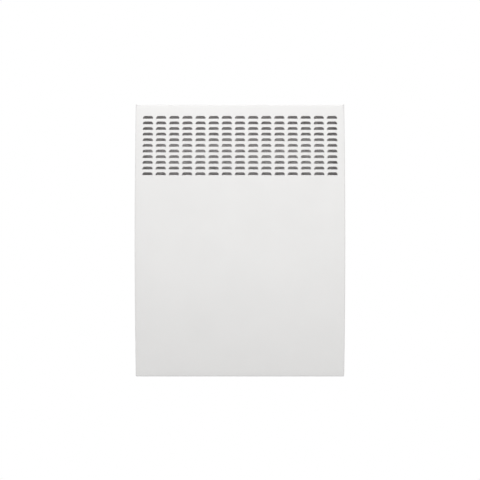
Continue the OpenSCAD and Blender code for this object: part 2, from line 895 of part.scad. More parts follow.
module control_housing() {
    wall = housing_wall;
    y_side = control_y + housing_w / 2;
    color("gray") difference() {
        union() {
            difference() {
                at_control(control_z) from_x(housing_x, rim_x) round_rect(housing_w, housing_h, housing_corner);
                at_control(control_z) from_x(housing_x + wall, rim_x + past)
                    round_rect(housing_w - 2 * wall, housing_h - 2 * wall, housing_corner - wall / 2);
            }
            at_board_posts() rod_x(post_r, housing_x + wall / 2, board_x);
            for (p = control_screw_places()) box([p[0] - boss / 2, y_side - wall / 2, p[1] - boss / 2],
                [p[0] + boss / 2, y_back, p[1] + boss / 2]);
        }
        at_board_posts() rod_x(post_screw_r + slip, board_x - board_depth / 2, board_x + past);
        at_places(control_screw_places()) rod_y(small_screw_r + slip, y_side + slip, y_back + past);
    }
}

module control_screws() {
    color("silver") at_places(control_screw_places()) translate([0, y_rear, 0]) small_screw();
}

// the recess in the side wall, with its controls' holes and the tick marks round the knob
module control_fascia() {
    w = window_w - 2 * touch;
    h = window_h - 2 * touch;
    corner = window_corner - touch;
    color("lightgray") difference() {
        union() {
            at_control(control_z) from_x(rim_x, in_w)
                round_rect(window_w + 2 * rim, window_h + 2 * rim, window_corner + rim / 4);
            at_control(control_z) from_x(floor_x, half_w - touch) round_rect(w, h, corner);
        }
        at_control(control_z) from_x(floor_face, half_w + past)
            round_rect(w - 2 * recess_wall, h - 2 * recess_wall, corner - recess_wall * 0.75);
        at_control(knob_z) rod_x(spindle_r + touch, floor_x - past, half_w);
        at_control(slider_z) from_x(floor_x - past, half_w)
            square([slider_slot, slider_travel + slider_stem_h + slider_slot], center = true);
        at_control(lamp_z) rod_x(lens_r + slip, floor_x - past, half_w);
        at_control(rocker_z) from_x(floor_x - past, half_w)
            square([rocker_w + 2 * rocker_gap, rocker_l + 3 * rocker_gap], center = true);
        for (i = [0 : tick_count - 1]) at_control(knob_z) rotate([i * tick_step - knob_start, 0, 0])
            box([floor_face - tick[0], -tick[1] / 2, knob_d / 2 + tick_gap],
                [half_w, tick[1] / 2, knob_d / 2 + tick_gap + tick[2]]);
    }
}

// THE CIRCUIT BOARD

relay_size = [15, 14, 30];
relay_up = 10;
relay_side = 1;        // from the board's middle line to the relay
capacitor_size = [13, 24, 16];

module circuit_board() {
    color("seagreen") difference() {
        at_control(control_z) from_x(board_x, board_face) square([board_w, board_h], center = true);
        at_board_posts() rod_x(post_screw_r + touch, board_x - past, board_face + past);
    }
}

module board_screws() {
    color("silver") at_board_posts() {
        rod_x(post_screw_r, board_x - board_depth / 3, board_face + weld);
        rod_x(post_head[0], board_face, board_face + post_head[1]);
    }
}

module relay() {
    size = relay_size;
    color("black") at_control(control_z + relay_up)
        box([board_x - size[0], -size[1] - relay_side, -size[2] / 2], [board_x, -relay_side, size[2] / 2]);
}

module capacitor() {
    size = capacitor_size;
    color("gold") at_control(lamp_z)
        box([board_x - size[0], -size[1] / 2, -size[2] / 2], [board_x, size[1] / 2, size[2] / 2]);
}

// THE THERMOSTAT

pot_w = 17;
pot_d = 8;
pot_bush = 2;
knob_gap = 0.5;
knob_turn = 270;
knob_start = knob_turn / 2;
knob_skirt = 1.2;
knob_rib = [0.6, 0.9];    // depth and width
knob_ribs = 36;
knob_floor = 1;
grip_w = 7;
grip_inset = 2.5;
pointer = [0.4, 1.2, 9];  // depth, width and length
tick = [0.3, 0.8, 2.2];
tick_gap = 1;
tick_count = 10;
tick_step = knob_turn / (tick_count - 1);
knob_x = floor_face + knob_gap;
knob_top = half_w - touch;

// the potentiometer stands on the board, and its bush reaches the fascia
module potentiometer() {
    color("slategray") at_control(knob_z) difference() {
        union() {
            from_x(board_face, board_face + pot_d) square([pot_w, pot_w], center = true);
            rod_x(spindle_r + pot_bush, board_face + pot_d - past, floor_x - 2 * knob_gap);
        }
        rod_x(spindle_r + slip, board_face + pot_d / 4, floor_x);
    }
}

module thermostat_spindle() {
    color("silver") at_control(knob_z)
        rod_x(spindle_r, board_face + pot_d / 4 + knob_gap, knob_x + knob_h - knob_floor);
}

// a ribbed drum with a bar grip across it and a bore for the spindle, its pointer at rest lower left
module thermostat_knob() {
    r = knob_d / 2;
    top = knob_x + knob_h;
    color("whitesmoke") at_control(knob_z) rotate([knob_start, 0, 0]) difference() {
        union() {
            rod_x(r - knob_rib[0], knob_x, top);
            rod_x(r, knob_x, knob_x + knob_skirt);
            for (i = [0 : knob_ribs - 1]) rotate([i * 360 / knob_ribs, 0, 0])
                box([knob_x + knob_skirt / 2, -knob_rib[1] / 2, r - 2.5 * knob_rib[0]],
                    [top - knob_rib[0], knob_rib[1] / 2, r]);
            from_x(top - past, knob_top) square([grip_w, 2 * (r - grip_inset)], center = true);
        }
        rod_x(spindle_r + slip, knob_x - past, top - knob_floor / 2);
        box([knob_top - pointer[0], -pointer[1] / 2, r - pointer[2]], [half_w, pointer[1] / 2, r]);
    }
}

// THE MODE SWITCH

slider_slot = 4;
slider_stem = [2.8, 4.8];  // width and height
slider_stem_h = slider_stem[1] + 1.2;
slider_stem_in = 5;
stem_room = 2;             // behind the stem, in its switch
stem_gap = 0.4;
slider_cap = [3, 10, 9];   // thickness, width and height
slider_ridge = [1, 1.2];   // height and width
switch_w = 9;
switch_ends = 14;

module mode_switch() {
    room = [slider_stem[0] + 2 * stem_gap, slider_travel + slider_stem[1] + 4 * stem_gap];
    color("black") at_control(slider_z) difference() {
        from_x(board_face, floor_x - 2 * knob_gap)
            square([switch_w, slider_travel + switch_ends], center = true);
        from_x(floor_x - slider_stem_in - stem_room, floor_x) square(room, center = true);
    }
}

// the slider's cap, with ridges for the finger, and the stem that runs into its switch
module mode_slider() {
    cap = slider_cap;
    x0 = floor_face + touch;
    x1 = x0 + cap[0];
    ridge = slider_ridge;
    color("dimgray") at_control(slider_z - slider_travel / 2) {
        box([floor_x - slider_stem_in, -slider_stem[0] / 2, -slider_stem[1] / 2],
            [x0 + past, slider_stem[0] / 2, slider_stem[1] / 2]);
        box([x0, -cap[1] / 2, -cap[2] / 2], [x1, cap[1] / 2, cap[2] / 2]);
        for (i = [-1 : 1]) translate([0, 0, i * cap[2] / 3])
            box([x1 - weld, -cap[1] / 2, -ridge[1] / 2], [x1 + ridge[0], cap[1] / 2, ridge[1] / 2]);
    }
}

// THE POWER SWITCH AND ITS LAMP

rocker_w = 11;
rocker_l = 19;
rocker_gap = 0.5;
rocker_pin_r = 1.5;
rocker_pin_l = 2;
rocker_deep = 3.5;    // from the recess's floor back to the rocker's pins
rocker_rise = [3.5, 7.5, 9.5];  // above the pins: shoulder, middle and ends
rocker_foot = [3, 5];
switch_wall = 3.5;
switch_gap = 1;       // from the board to the switch's case
lamp_r = 2.4;
lens_r = 3;
lens_lip = 1;
rocker_axis_x = floor_x - rocker_deep;

module rocker_switch() {
    w = rocker_w + 2 * switch_wall;
    l = rocker_l + 2 * switch_wall;
    pin = rocker_w / 2 + rocker_pin_l + rocker_gap;
    color("black") at_control(rocker_z) difference() {
        from_x(board_face + switch_gap, floor_x) square([w, l], center = true);
        from_x(rocker_axis_x - rocker_rise[1], floor_x + past)
            square([rocker_w + 2 * rocker_gap, rocker_l + 3 * rocker_gap], center = true);
        translate([rocker_axis_x, 0, 0]) rod_y(rocker_pin_r + slip, -pin, pin);
    }
}

// a rocker with two faces that slope to its middle, drawn tipped to off, on its own pins
module power_rocker() {
    pin = rocker_w / 2 + rocker_pin_l;
    half_l = rocker_l / 2 - 2 * rocker_gap;
    rise = rocker_rise;
    foot = rocker_foot;
    color("white") at_control(rocker_z) translate([rocker_axis_x, 0, 0]) rotate([0, rocker_tilt, 0]) {
        rod_y(rocker_pin_r, -pin, pin);
        translate([0, rocker_w / 2, 0]) rotate([90, 0, 0]) linear_extrude(rocker_w) polygon([
            [-foot[0], -foot[1]], [rise[0], -half_l], [rise[2], -half_l], [rise[1], 0],
            [rise[2], half_l], [rise[0], half_l], [-foot[0], foot[1]]
        ]);
    }
}

module pilot_lamp() {
    color("orange") at_control(lamp_z) rod_x(lamp_r, board_face, floor_x - 2.5 * lens_lip);
}

module pilot_lens() {
    color("orangered") at_control(lamp_z) {
        rod_x(lens_r, floor_x - 2 * lens_lip, floor_face + lens_lip / 2);
        rod_x(lens_r + lens_lip, floor_x - 2.2 * lens_lip, floor_x);
    }
}

// THE CONNECTOR UNDER THE HOUSING

connector_size = [31, 10, 11];
pin_pitch = 7;
socket = [1.9, 2];  // radius and depth
connector_z = control_z - housing_h / 2;
connector_x = housing_x + 10;
function pin(i) = [connector_x + i * pin_pitch, control_y, connector_z - connector_size[2] + socket[1]];

module control_connector() {
    size = connector_size;
    x0 = connector_x - size[1] / 2;
    color("ivory") difference() {
        box([x0, control_y - size[1] / 2, connector_z - size[2]],
            [x0 + size[0], control_y + size[1] / 2, connector_z]);
        for (i = [0 : 3]) translate(pin(i)) rod_z(socket[0], -socket[1] - past, 0);
    }
}

// THE SUPPLY TERMINALS

supply_x = 26;         // from the bulkhead to the middle of the supply parts
supply_rise = 33;      // from the bottom of the casing up to the cord's window
block_rise = 34;
block_size = [38, 16, 18];
block_foot = [3, 10];  // thickness and height
way_pitch = 12;
way_in = 8;            // from the back panel to the ways' axes
insert_r = 2.6;
insert_l = 14;
wire_bore = [1.6, 3];  // radius and depth
terminal_screw = [1.4, 5];
terminal_head = [2.1, 4.4];
gland_x = bulkhead_x + supply_x;
gland_z = -half_h + supply_rise;
block_z = gland_z + block_rise;
way_y = y_back - way_in;

module at_ways() {
    for (i = [-1 : 1]) translate([gland_x + i * way_pitch, way_y, block_z]) children();
}

module terminal_block() {
    size = block_size;
    x0 = gland_x - size[0] / 2;
    x1 = gland_x + size[0] / 2;
    foot = block_foot;
    color("ivory") difference() {
        union() {
            box([x0, y_back - size[1], block_z - size[2] / 2], [x1, y_back - foot[0], block_z + size[2] / 2]);
            box([x0, y_back - foot[0] - past, block_z - foot[1] / 2], [x1, y_back, block_z + foot[1] / 2]);
        }
        at_ways() rod_z(insert_r + slip, -size[2], size[2]);
        at_ways() rod_y(terminal_head[0] + weld, way_in - size[1] - past, 0);
    }
}

module terminal_inserts() {
    half = insert_l / 2;
    color("goldenrod") at_ways() difference() {
        rod_z(insert_r, -half, half);
        rod_z(wire_bore[0], -half - past, -half + wire_bore[1]);
        rod_z(wire_bore[0], half - wire_bore[1], half + past);
        rod_y(terminal_screw[0] + slip, -terminal_screw[1], 0);
    }
}

module terminal_screws() {
    color("silver") at_ways() {
        rod_y(terminal_screw[0], -terminal_screw[1], -touch);
        rod_y(terminal_head[0], -insert_r - terminal_head[1], -insert_r - slip);
    }
}

// THE CORD OUTLET: it stands on the back panel's outer face, with its bush at the bottom

outlet_size = [24, 15, 26];
outlet_drop = 14;      // from the cord's window down to the outlet's end
outlet_wall = 1.5;
outlet_floor = 8;
outlet_tab = [9, 2.5]; // length and thickness
outlet_screw_in = 0.5; // from the middle of a tab towards the outlet
bush_r = 5;
bush_lip = 1.5;
bush_clip = 0.8;
bush_flange_t = 1;
bush_barb_t = 2;
cord_window_w = 13.4;
outlet_low = gland_z - outlet_drop;
outlet_high = outlet_low + outlet_size[2];
outlet_y = y_rear + outlet_size[1] / 2;
function outlet_screw_places() = [for (s = [-1, 1])
    [gland_x + s * ((outlet_size[0] + outlet_tab[0]) / 2 - outlet_screw_in), outlet_high - outlet_tab[0] / 2]];

module cord_window() {
    translate([gland_x, gland_z]) square([cord_window_w, outlet_drop], center = true);
}

module cord_outlet() {
    x = outlet_size[0] / 2;
    y1 = y_rear + outlet_size[1];
    wall = outlet_wall;
    tab = outlet_tab;
    color("dimgray") difference() {
        union() {
            box([gland_x - x, y_rear, outlet_low], [gland_x + x, y1, outlet_high]);
            box([gland_x - x - tab[0], y_rear, outlet_high - tab[0]],
                [gland_x + x + tab[0], y_rear + tab[1], outlet_high]);
        }
        box([gland_x - x + wall, y_rear - past, outlet_low + outlet_floor],
            [gland_x + x - wall, y1 - wall, outlet_high - wall]);
        translate([gland_x, outlet_y, outlet_low]) rod_z(bush_r + slip, -past, outlet_floor + past);
        small_holes(outlet_screw_places(), y_rear, y_rear + tab[1]);
    }
}

module outlet_screws() {
    color("silver") at_places(outlet_screw_places()) translate([0, y_rear + outlet_tab[1], 0]) small_screw();
}

module cord_bush() {
    color("black") translate([gland_x, outlet_y, outlet_low]) difference() {
        union() {
            rod_z(bush_r, -bush_lip, outlet_floor + bush_lip);
            rod_z(bush_r + bush_lip, -bush_lip - bush_flange_t, 0);
            rod_z(bush_r + bush_clip, outlet_floor, outlet_floor + bush_barb_t);
        }
        rod_z(cord_r, -bush_lip - 3 * past, outlet_floor + bush_lip + 3 * past);
    }
}

// THE EARTH STUD, with a nut each side of the lead's ring tag

earth_r = 2;
earth_side = 19;       // from the supply parts' middle to the stud
earth_drop = 7.5;
earth_head = [4, 1.6]; // radius and height
earth_end = [1.7, 0.5]; // past the front nut and behind the back panel
nut = [4.2, 3];        // radius and height
ring_r = 4;
ring_t = 0.8;
barrel = [2, 6, 6];    // radius, height above the stud and length
earth_place = [gland_x - earth_side, gland_z - earth_drop];
ring_y = y_back - nut[1];

module hex_nut(y) {
    translate([0, y, 0]) rotate([90, 0, 0]) difference() {
        cylinder(r = nut[0], h = nut[1], $fn = 6);
        rod_z(earth_r + slip, -past, nut[1] + past);
    }
}

module earth_terminal() {
    front = ring_y - ring_t;
    color("goldenrod") at_places([earth_place]) {
        rod_y(earth_r, front - nut[1] - earth_end[0], y_rear + earth_end[1]);
        rod_y(earth_head[0], y_rear, y_rear + earth_head[1]);
        hex_nut(y_back);
        hex_nut(front);
        difference() {
            union() {
                rod_y(ring_r, front, ring_y);
                box([-barrel[0], front, 0], [barrel[0], ring_y, barrel[1] + barrel[0]]);
                translate([0, ring_y - ring_t / 2, 0]) rod_z(barrel[0], barrel[1], barrel[1] + barrel[2]);
            }
            rod_y(earth_r + slip, front - past, ring_y + past);
        }
    }
}

// THE ROOM SENSOR, over the first inlet slots

sensor_in = 18.2;
sensor_up = 22;
sensor_back = 25.2;
sensor_r = 2;
sensor_l = 13;
clip_w = 8;
clip_t = [2.5, 2];      // of its arm and its foot
clip_foot_h = 14;
sensor_x = in_w - sensor_in;
sensor_z = -in_h + sensor_up;
sensor_y = y_back - sensor_back;

module sensor_clip() {
    half = clip_w / 2;
    low = sensor_z - half;
    color("ivory") difference() {
        translate([sensor_x, 0, 0]) {
            box([-half, sensor_y - half, low], [half, sensor_y + half, sensor_z + half]);
            box([-half, sensor_y - half, low], [half, y_back, low + clip_t[0]]);
            box([-half, y_back - clip_t[1], low], [half, y_back, low + clip_foot_h]);
        }
        translate([sensor_x, sensor_y, sensor_z]) rod_z(sensor_r + slip, -clip_w, clip_w);
    }
}

module room_sensor() {
    color("black") translate([sensor_x, sensor_y, sensor_z - half_clip()]) {
        cylinder(r = sensor_r, h = sensor_l);
        sphere(sensor_r);
    }
}
function half_clip() = clip_w / 2 + past;

// WIRING

lead_r = 1.5;
sensor_lead_r = 0.9;
end_run = 10;          // straight run where a lead leaves a terminal

function unit(v) = v / norm(v);

// a point on the smooth curve through the points, t of the way from p[i] to p[i + 1]
function along(p, i, t) = let(
    last = len(p) - 1,
    a = p[max(i - 1, 0)], b = p[i], c = p[min(i + 1, last)], d = p[min(i + 2, last)]
) 0.5 * (2 * b + (c - a) * t + (2 * a - 5 * b + 4 * c - d) * t * t + (3 * b - a - 3 * c + d) * t * t * t);

// the first and last stretches stay straight, square to what the lead meets
function smooth(p, steps) = [
    p[0],
    for (i = [1 : len(p) - 3], k = [0 : steps - 1]) along(p, i, k / steps),
    p[len(p) - 2],
    p[len(p) - 1]
];

// a point t of the way from a to b, moved aside by shift
function between(a, b, t, shift) = a + (b - a) * t + shift;

// a round lead swept along the points, its rings squared to the path
module lead(points, r, up = [0.02, 1, 0.03], sides = 8, steps = 3) {
    p = smooth(points, steps);
    n = len(p);
    tangent = [for (i = [0 : n - 1]) unit(p[min(i + 1, n - 1)] - p[max(i - 1, 0)])];
    rings = [for (i = [0 : n - 1]) let(u = unit(cross(tangent[i], up)), v = cross(u, tangent[i]))
        for (k = [0 : sides - 1]) p[i] + r * (cos(k * 360 / sides) * u + sin(k * 360 / sides) * v)];
    walls = [for (i = [0 : n - 2], k = [0 : sides - 1])
        let(a = i * sides, b = a + sides, m = (k + 1) % sides)
        each [[a + k, a + m, b + m], [a + k, b + m, b + k]]];
    polyhedron(
        points = rings,
        faces = concat(
            [[for (k = [sides - 1 : -1 : 0]) k]],
            walls,
            [[for (k = [0 : sides - 1]) (n - 1) * sides + k]]
        )
    );
}

function rise(p, h) = p + [0, 0, h];
function way_top(i) = [gland_x + i * way_pitch, way_y, block_z + insert_l / 2 - wire_bore[1] + touch];
function tag_top(s) = [element_x + s * (tag_x + tag_l / 2), element_y, element_z + tag_blade[2]];
function blade_top(s) = [cutout_x + s * blade_gap, y_shield_front - blade_in, cutout_z + cutout_r + blade_l];
function earth_top() = [earth_place[0], ring_y - ring_t / 2, earth_place[1] + barrel[1] + barrel[2]];
// where a lead passes the grommet, z up from its middle, on the element's side or the controls' side
function hole_in(z) = [bulkhead_x - 6, grommet_y, grommet_z + z];
function hole_out(z) = [bulkhead_x + 6, grommet_y - 1.5, grommet_z + z];

module lead_live() {
    a = rise(way_top(1), end_run);
    b = rise(pin(3), -end_run);
    color("saddlebrown") lead([way_top(1), a, between(a, b, 0.34, [4, 1.5, 0]),
        between(a, b, 0.75, [2.25, -2, 0]), b, pin(3)], lead_r);
}

module lead_neutral() {
    a = rise(way_top(0), end_run);
    b = rise(pin(2), -end_run);
    color("royalblue") lead([way_top(0), a, between(a, b, 0.38, [2.2, 0.5, 0]),
        between(a, b, 0.77, [1.5, -2.5, 0]), b, pin(2)], lead_r);
}

module lead_element() {
    a = rise(pin(1), -end_run);
    b = hole_out(-2);
    c = hole_in(-2);
    d = rise(tag_top(1), end_run);
    color("royalblue") lead([pin(1), a, between(a, b, 0.5, [2, -1.8, -4.5]), b, c,
        between(c, d, 0.4, [0, 0, 1.5]), d, tag_top(1)], lead_r);
}

module lead_switched() {
    a = rise(blade_top(1), end_run);
    b = hole_in(2);
    c = hole_out(2.5);
    d = rise(pin(0), -end_run);
    color("saddlebrown") lead([blade_top(1), a, between(a, b, 0.27, [0, 2, 18]),
        between(a, b, 0.7, [0, 2.8, 9]), between(a, b, 0.92, [0, 1, 0]), b, c,
        between(c, d, 0.5, [-0.5, 0, -2]), d, pin(0)], lead_r);
}

module lead_cutout() {
    a = rise(blade_top(-1), end_run);
    b = rise(tag_top(-1), end_run);
    color("saddlebrown") lead([blade_top(-1), a, between(a, b, 0.17, [0, 3.9, 25]),
        between(a, b, 0.6, [0, 12.7, 58]), between(a, b, 0.92, [-2, 18, 58]),
        between(a, b, 1, [-3, 10, 24]), b, tag_top(-1)], lead_r);
}

// up from its terminal, then down beside the block
module lead_earth() {
    x = gland_x - block_size[0] / 2 - 2 * lead_r;
    y = way_y - 5;
    a = rise(way_top(-1), end_run);
    b = rise(earth_top(), end_run);
    color("yellowgreen") lead([way_top(-1), a, [x + 4, y, a[2] + 6], [x, y, block_z + block_size[2] / 2],
        [x, y + 2, block_z - block_size[2] / 2 - 4], b, earth_top()], lead_r);
}

module lead_sensor() {
    start = [sensor_x, sensor_y, sensor_z + sensor_l - half_clip()];
    goal = [sensor_x + 6, control_y - 7.6, connector_z];
    a = rise(start, end_run);
    b = rise(goal, -end_run);
    color("dimgray") lead([start, a, between(a, b, 0.3, [4, -4, 0]), between(a, b, 0.7, [3, -3, 0]), b, goal],
        sensor_lead_r);
}

front_casing();
back_panel();
casing_screws();
air_deflector();
deflector_screws();
element_casting();
element_rod();
element_insulators();
element_bracket(-1);  // element_bracket_left
element_bracket(1);  // element_bracket_right
element_bracket_screws();
element_tags();
thermal_cutout();
cutout_screws();
control_bulkhead();
bulkhead_screws();
lead_grommet();
control_housing();
control_screws();
control_fascia();
circuit_board();
board_screws();
relay();
capacitor();
potentiometer();
thermostat_spindle();
thermostat_knob();
mode_switch();
mode_slider();
rocker_switch();
power_rocker();
pilot_lamp();
pilot_lens();
control_connector();
terminal_block();
terminal_inserts();
terminal_screws();
cord_outlet();
cord_bush();
outlet_screws();
earth_terminal();
room_sensor();
sensor_clip();
lead_live();
lead_switched();
lead_element();
lead_neutral();
lead_cutout();
lead_earth();
lead_sensor();
upright(-1);  // bracket_upright_left
upright(1);  // bracket_upright_right
bracket_crossbar_upper();
bracket_crossbar_lower();
bracket_rivets();
lock(-1);  // lock_left
lock(1);  // lock_right
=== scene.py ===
"""Dresses a slim wall-hung convector heater round its packed construction model.

The white casing and the cord outlet's cover are modelled here. Every other part keeps its
construction shape, some with their edges eased, and each one gets a procedural finish.
All lengths are in metres, in the frame of the construction model.
"""

import json
import logging
import math
from dataclasses import dataclass, field
from enum import Enum
from typing import Any, Callable, Sequence

import bpy
from mathutils import Matrix, Vector

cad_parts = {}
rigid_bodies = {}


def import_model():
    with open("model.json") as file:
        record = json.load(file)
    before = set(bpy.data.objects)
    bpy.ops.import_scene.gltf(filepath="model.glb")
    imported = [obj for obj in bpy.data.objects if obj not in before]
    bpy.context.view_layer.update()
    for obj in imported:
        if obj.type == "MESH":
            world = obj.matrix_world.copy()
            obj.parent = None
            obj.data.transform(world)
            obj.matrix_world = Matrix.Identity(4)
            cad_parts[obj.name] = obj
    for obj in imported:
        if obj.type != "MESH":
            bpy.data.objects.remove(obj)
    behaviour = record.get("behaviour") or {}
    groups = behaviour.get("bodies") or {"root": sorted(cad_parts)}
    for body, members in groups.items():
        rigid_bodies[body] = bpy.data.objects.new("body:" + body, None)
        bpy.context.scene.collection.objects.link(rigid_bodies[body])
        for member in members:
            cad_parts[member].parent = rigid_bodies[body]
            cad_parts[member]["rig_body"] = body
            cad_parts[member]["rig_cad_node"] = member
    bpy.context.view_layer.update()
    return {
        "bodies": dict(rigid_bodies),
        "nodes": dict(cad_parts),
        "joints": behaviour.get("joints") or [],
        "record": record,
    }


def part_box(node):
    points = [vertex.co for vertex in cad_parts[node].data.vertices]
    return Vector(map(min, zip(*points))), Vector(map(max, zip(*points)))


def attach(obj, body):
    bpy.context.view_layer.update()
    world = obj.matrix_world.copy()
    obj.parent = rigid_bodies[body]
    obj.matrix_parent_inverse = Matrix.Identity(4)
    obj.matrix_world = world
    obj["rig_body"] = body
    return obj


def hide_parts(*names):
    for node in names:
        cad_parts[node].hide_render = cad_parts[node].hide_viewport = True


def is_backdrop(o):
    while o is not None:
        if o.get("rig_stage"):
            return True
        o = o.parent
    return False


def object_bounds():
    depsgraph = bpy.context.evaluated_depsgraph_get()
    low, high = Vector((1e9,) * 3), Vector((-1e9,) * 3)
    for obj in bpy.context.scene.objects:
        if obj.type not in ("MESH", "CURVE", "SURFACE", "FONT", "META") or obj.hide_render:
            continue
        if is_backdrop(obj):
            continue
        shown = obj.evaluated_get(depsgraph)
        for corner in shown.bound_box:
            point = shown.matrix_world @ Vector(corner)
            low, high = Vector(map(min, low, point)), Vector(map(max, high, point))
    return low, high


log = logging.getLogger("heater")
MM = 0.001
SAME = 0.001 * MM  # places closer than this are one
NEAR = 0.01 * MM  # room for rounding in what an operator has placed
FLAT = 0.6  # degrees, below which two faces lie in one plane
SHARP = 35.0  # degrees, above which an edge is eased or shown as an edge
Colour = tuple[float, float, float]
Point = tuple[float, float, float]
Span = tuple[float, float]
Rule = Callable[[Any], bool]
Mover = Callable[[Vector], Sequence[float]]


# Shader maths


@dataclass(frozen=True)
class Wire:
    """One output socket, whose arithmetic adds Math nodes to its material."""

    shader: "Shader"
    socket: bpy.types.NodeSocket

    def _sum(self, operation: str, other: "Wire | float") -> "Wire":
        """Adds one Math node and returns its output."""
        return self.shader.node("ShaderNodeMath", {"operation": operation}, {0: self, 1: other})

    def __add__(self, other: "Wire | float") -> "Wire":
        """Returns this plus other."""
        return self._sum("ADD", other)

    __radd__ = __add__

    def __mul__(self, other: "Wire | float") -> "Wire":
        """Returns this times other."""
        return self._sum("MULTIPLY", other)

    __rmul__ = __mul__

    def __gt__(self, other: "Wire | float") -> "Wire":
        """Returns one where this is above other, and nothing elsewhere."""
        return self._sum("GREATER_THAN", other)

    def stretch(self, low: float, high: float, to_low: float = 0.0, to_high: float = 1.0) -> "Wire":
        """Maps a span of this onto another, and holds it at the ends.

        Args:
            low: value of this that gives to_low.
            high: value of this that gives to_high.
            to_low: lower result.
            to_high: upper result.

        Returns:
            The mapped value.
        """
        sockets = {"Value": self, "From Min": low, "From Max": high,
                   "To Min": to_low, "To Max": to_high}
        return self.shader.node("ShaderNodeMapRange", {"clamp": True}, sockets)

    def share(self) -> "Wire":
        """Spreads the usual values of a noise over nothing to one, as the share of a colour."""
        return self.stretch(0.35, 0.65)

    def gloss(self, span: Span, middle: float = 0.0) -> "Wire":
        """Spreads the usual values of a noise over a span of roughness about a middle."""
        return self.stretch(0.3, 0.7, middle + span[0], middle + span[1])


class Shader:
    """One material under construction, with its main surface shader."""

    def __init__(self, name: str, **constants: Any) -> None:
        """Starts a material.

        Args:
            name: the material's name.
            constants: sockets that are the same all over, with spaces as underscores.
        """
        self.material = bpy.data.materials.new(name)
        self.material.use_nodes = True
        self.tree = self.material.node_tree
        self.surface = self.tree.nodes["Principled BSDF"]
        for socket, value in constants.items():
            self.surface.inputs[socket.replace("_", " ")].default_value = value

    def node(self, kind: str, settings: dict[str, Any], values: dict[Any, Any],
             output: Any = 0) -> Wire:
        """Adds a node.

        Args:
            kind: the node's type.
            settings: attributes set before its sockets, or "stops" for a colour ramp.
            values: numbers, colours or wires, by socket name or number.
            output: name or number of the output that is returned.

        Returns:
            That output.
        """
        made = self.tree.nodes.new(kind)
        for name, value in settings.items():
            if name == "stops":
                ramp = made.color_ramp.elements
                for index, (place, colour) in enumerate(value):
                    stop = ramp[index] if index < len(ramp) else ramp.new(place)
                    stop.position = place
                    stop.color = (*colour, 1.0)
            else:
                setattr(made, name, value)
        for name, value in values.items():
            self.feed(made.inputs[name], value)
        return Wire(self, made.outputs[output])

    def feed(self, socket: bpy.types.NodeSocket, value: Any) -> None:
        """Links a wire to a socket, or sets the socket's own value.

        Args:
            socket: the socket.
            value: a wire, a number, a vector or a colour.
        """
        if isinstance(value, Wire):
            self.tree.links.new(value.socket, socket)
        elif isinstance(value, tuple) and len(value) == 3 and len(socket.default_value) == 4:
            socket.default_value = (*value, 1.0)
        else:
            socket.default_value = value

    def coordinates(self) -> Wire:
        """Returns the object's own coordinates, in metres."""
        return self.node("ShaderNodeTexCoord", {}, {}, "Object")

    def placed(self, scale: Point = (1, 1, 1), turn: Point = (0, 0, 0)) -> Wire:
        """Returns object coordinates, scaled and turned."""
        values = {"Vector": self.coordinates(), "Scale": scale, "Rotation": turn}
        return self.node("ShaderNodeMapping", {}, values)

    def noise(self, size: float, detail: float = 2.0, where: Wire | None = None) -> Wire:
        """Returns noise whose features measure about size metres."""
        values = {"Vector": where or self.coordinates(), "Scale": 1 / size, "Detail": detail}
        return self.node("ShaderNodeTexNoise", {}, values)

    def cells(self, size: float, output: str = "Distance") -> Wire:
        """Returns a cell pattern whose cells measure about size metres."""
        values = {"Vector": self.coordinates(), "Scale": 1 / size}
        return self.node("ShaderNodeTexVoronoi", {}, values, output)

    def mix(self, factor: Wire | float, first: Any, second: Any) -> Wire:
        """Returns a blend of two colours."""
        settings, values = {"data_type": "RGBA"}, {0: factor, 6: first, 7: second}
        return self.node("ShaderNodeMix", settings, values, 2)

    def emboss(self, height: Wire, depth: float, strength: float = 0.5) -> None:
        """Bumps the surface by a height pattern of the given depth in metres."""
        values = {"Height": height, "Distance": depth, "Strength": strength}
        self.feed(self.surface.inputs["Normal"], self.node("ShaderNodeBump", {}, values))

    def paint(self, **wires: Any) -> bpy.types.Material:
        """Links what varies to the surface shader, and returns the finished material.

        Args:
            wires: a wire or a value for each socket, with spaces as underscores.

        Returns:
            The material.
        """
        for socket, value in wires.items():
            self.feed(self.surface.inputs[socket.replace("_", " ")], value)
        return self.material


# Finishes


@dataclass(frozen=True)
class Surface:
    """What all finishes share: a name, and a colour with its lighter and darker shades."""

    name: str
    colour: Colour

    def shade(self, factor: float) -> Colour:
        """Returns the colour times a factor."""
        return tuple(c * factor for c in self.colour)


@dataclass(frozen=True)
class PowderCoat(Surface):
    """Baked powder paint: a soft orange peel, and a colour that is almost even."""

    roughness: float = 0.4
    uneven: Span = (-0.02, 0.03)
    peel: float = 1.4 * MM
    peel_depth: float = 0.012 * MM
    cloud: float = 70 * MM
    cloud_shade: float = 0.985

    def build(self) -> bpy.types.Material:
        """Returns the material."""
        shader = Shader(self.name, Metallic=0.0)
        cloud = shader.noise(self.cloud, 3.0)
        shader.emboss(shader.noise(self.peel, 1.0), self.peel_depth)
        return shader.paint(
            Base_Color=shader.mix(cloud.share(), self.colour, self.shade(self.cloud_shade)),
            Roughness=cloud.gloss(self.uneven, self.roughness),
        )


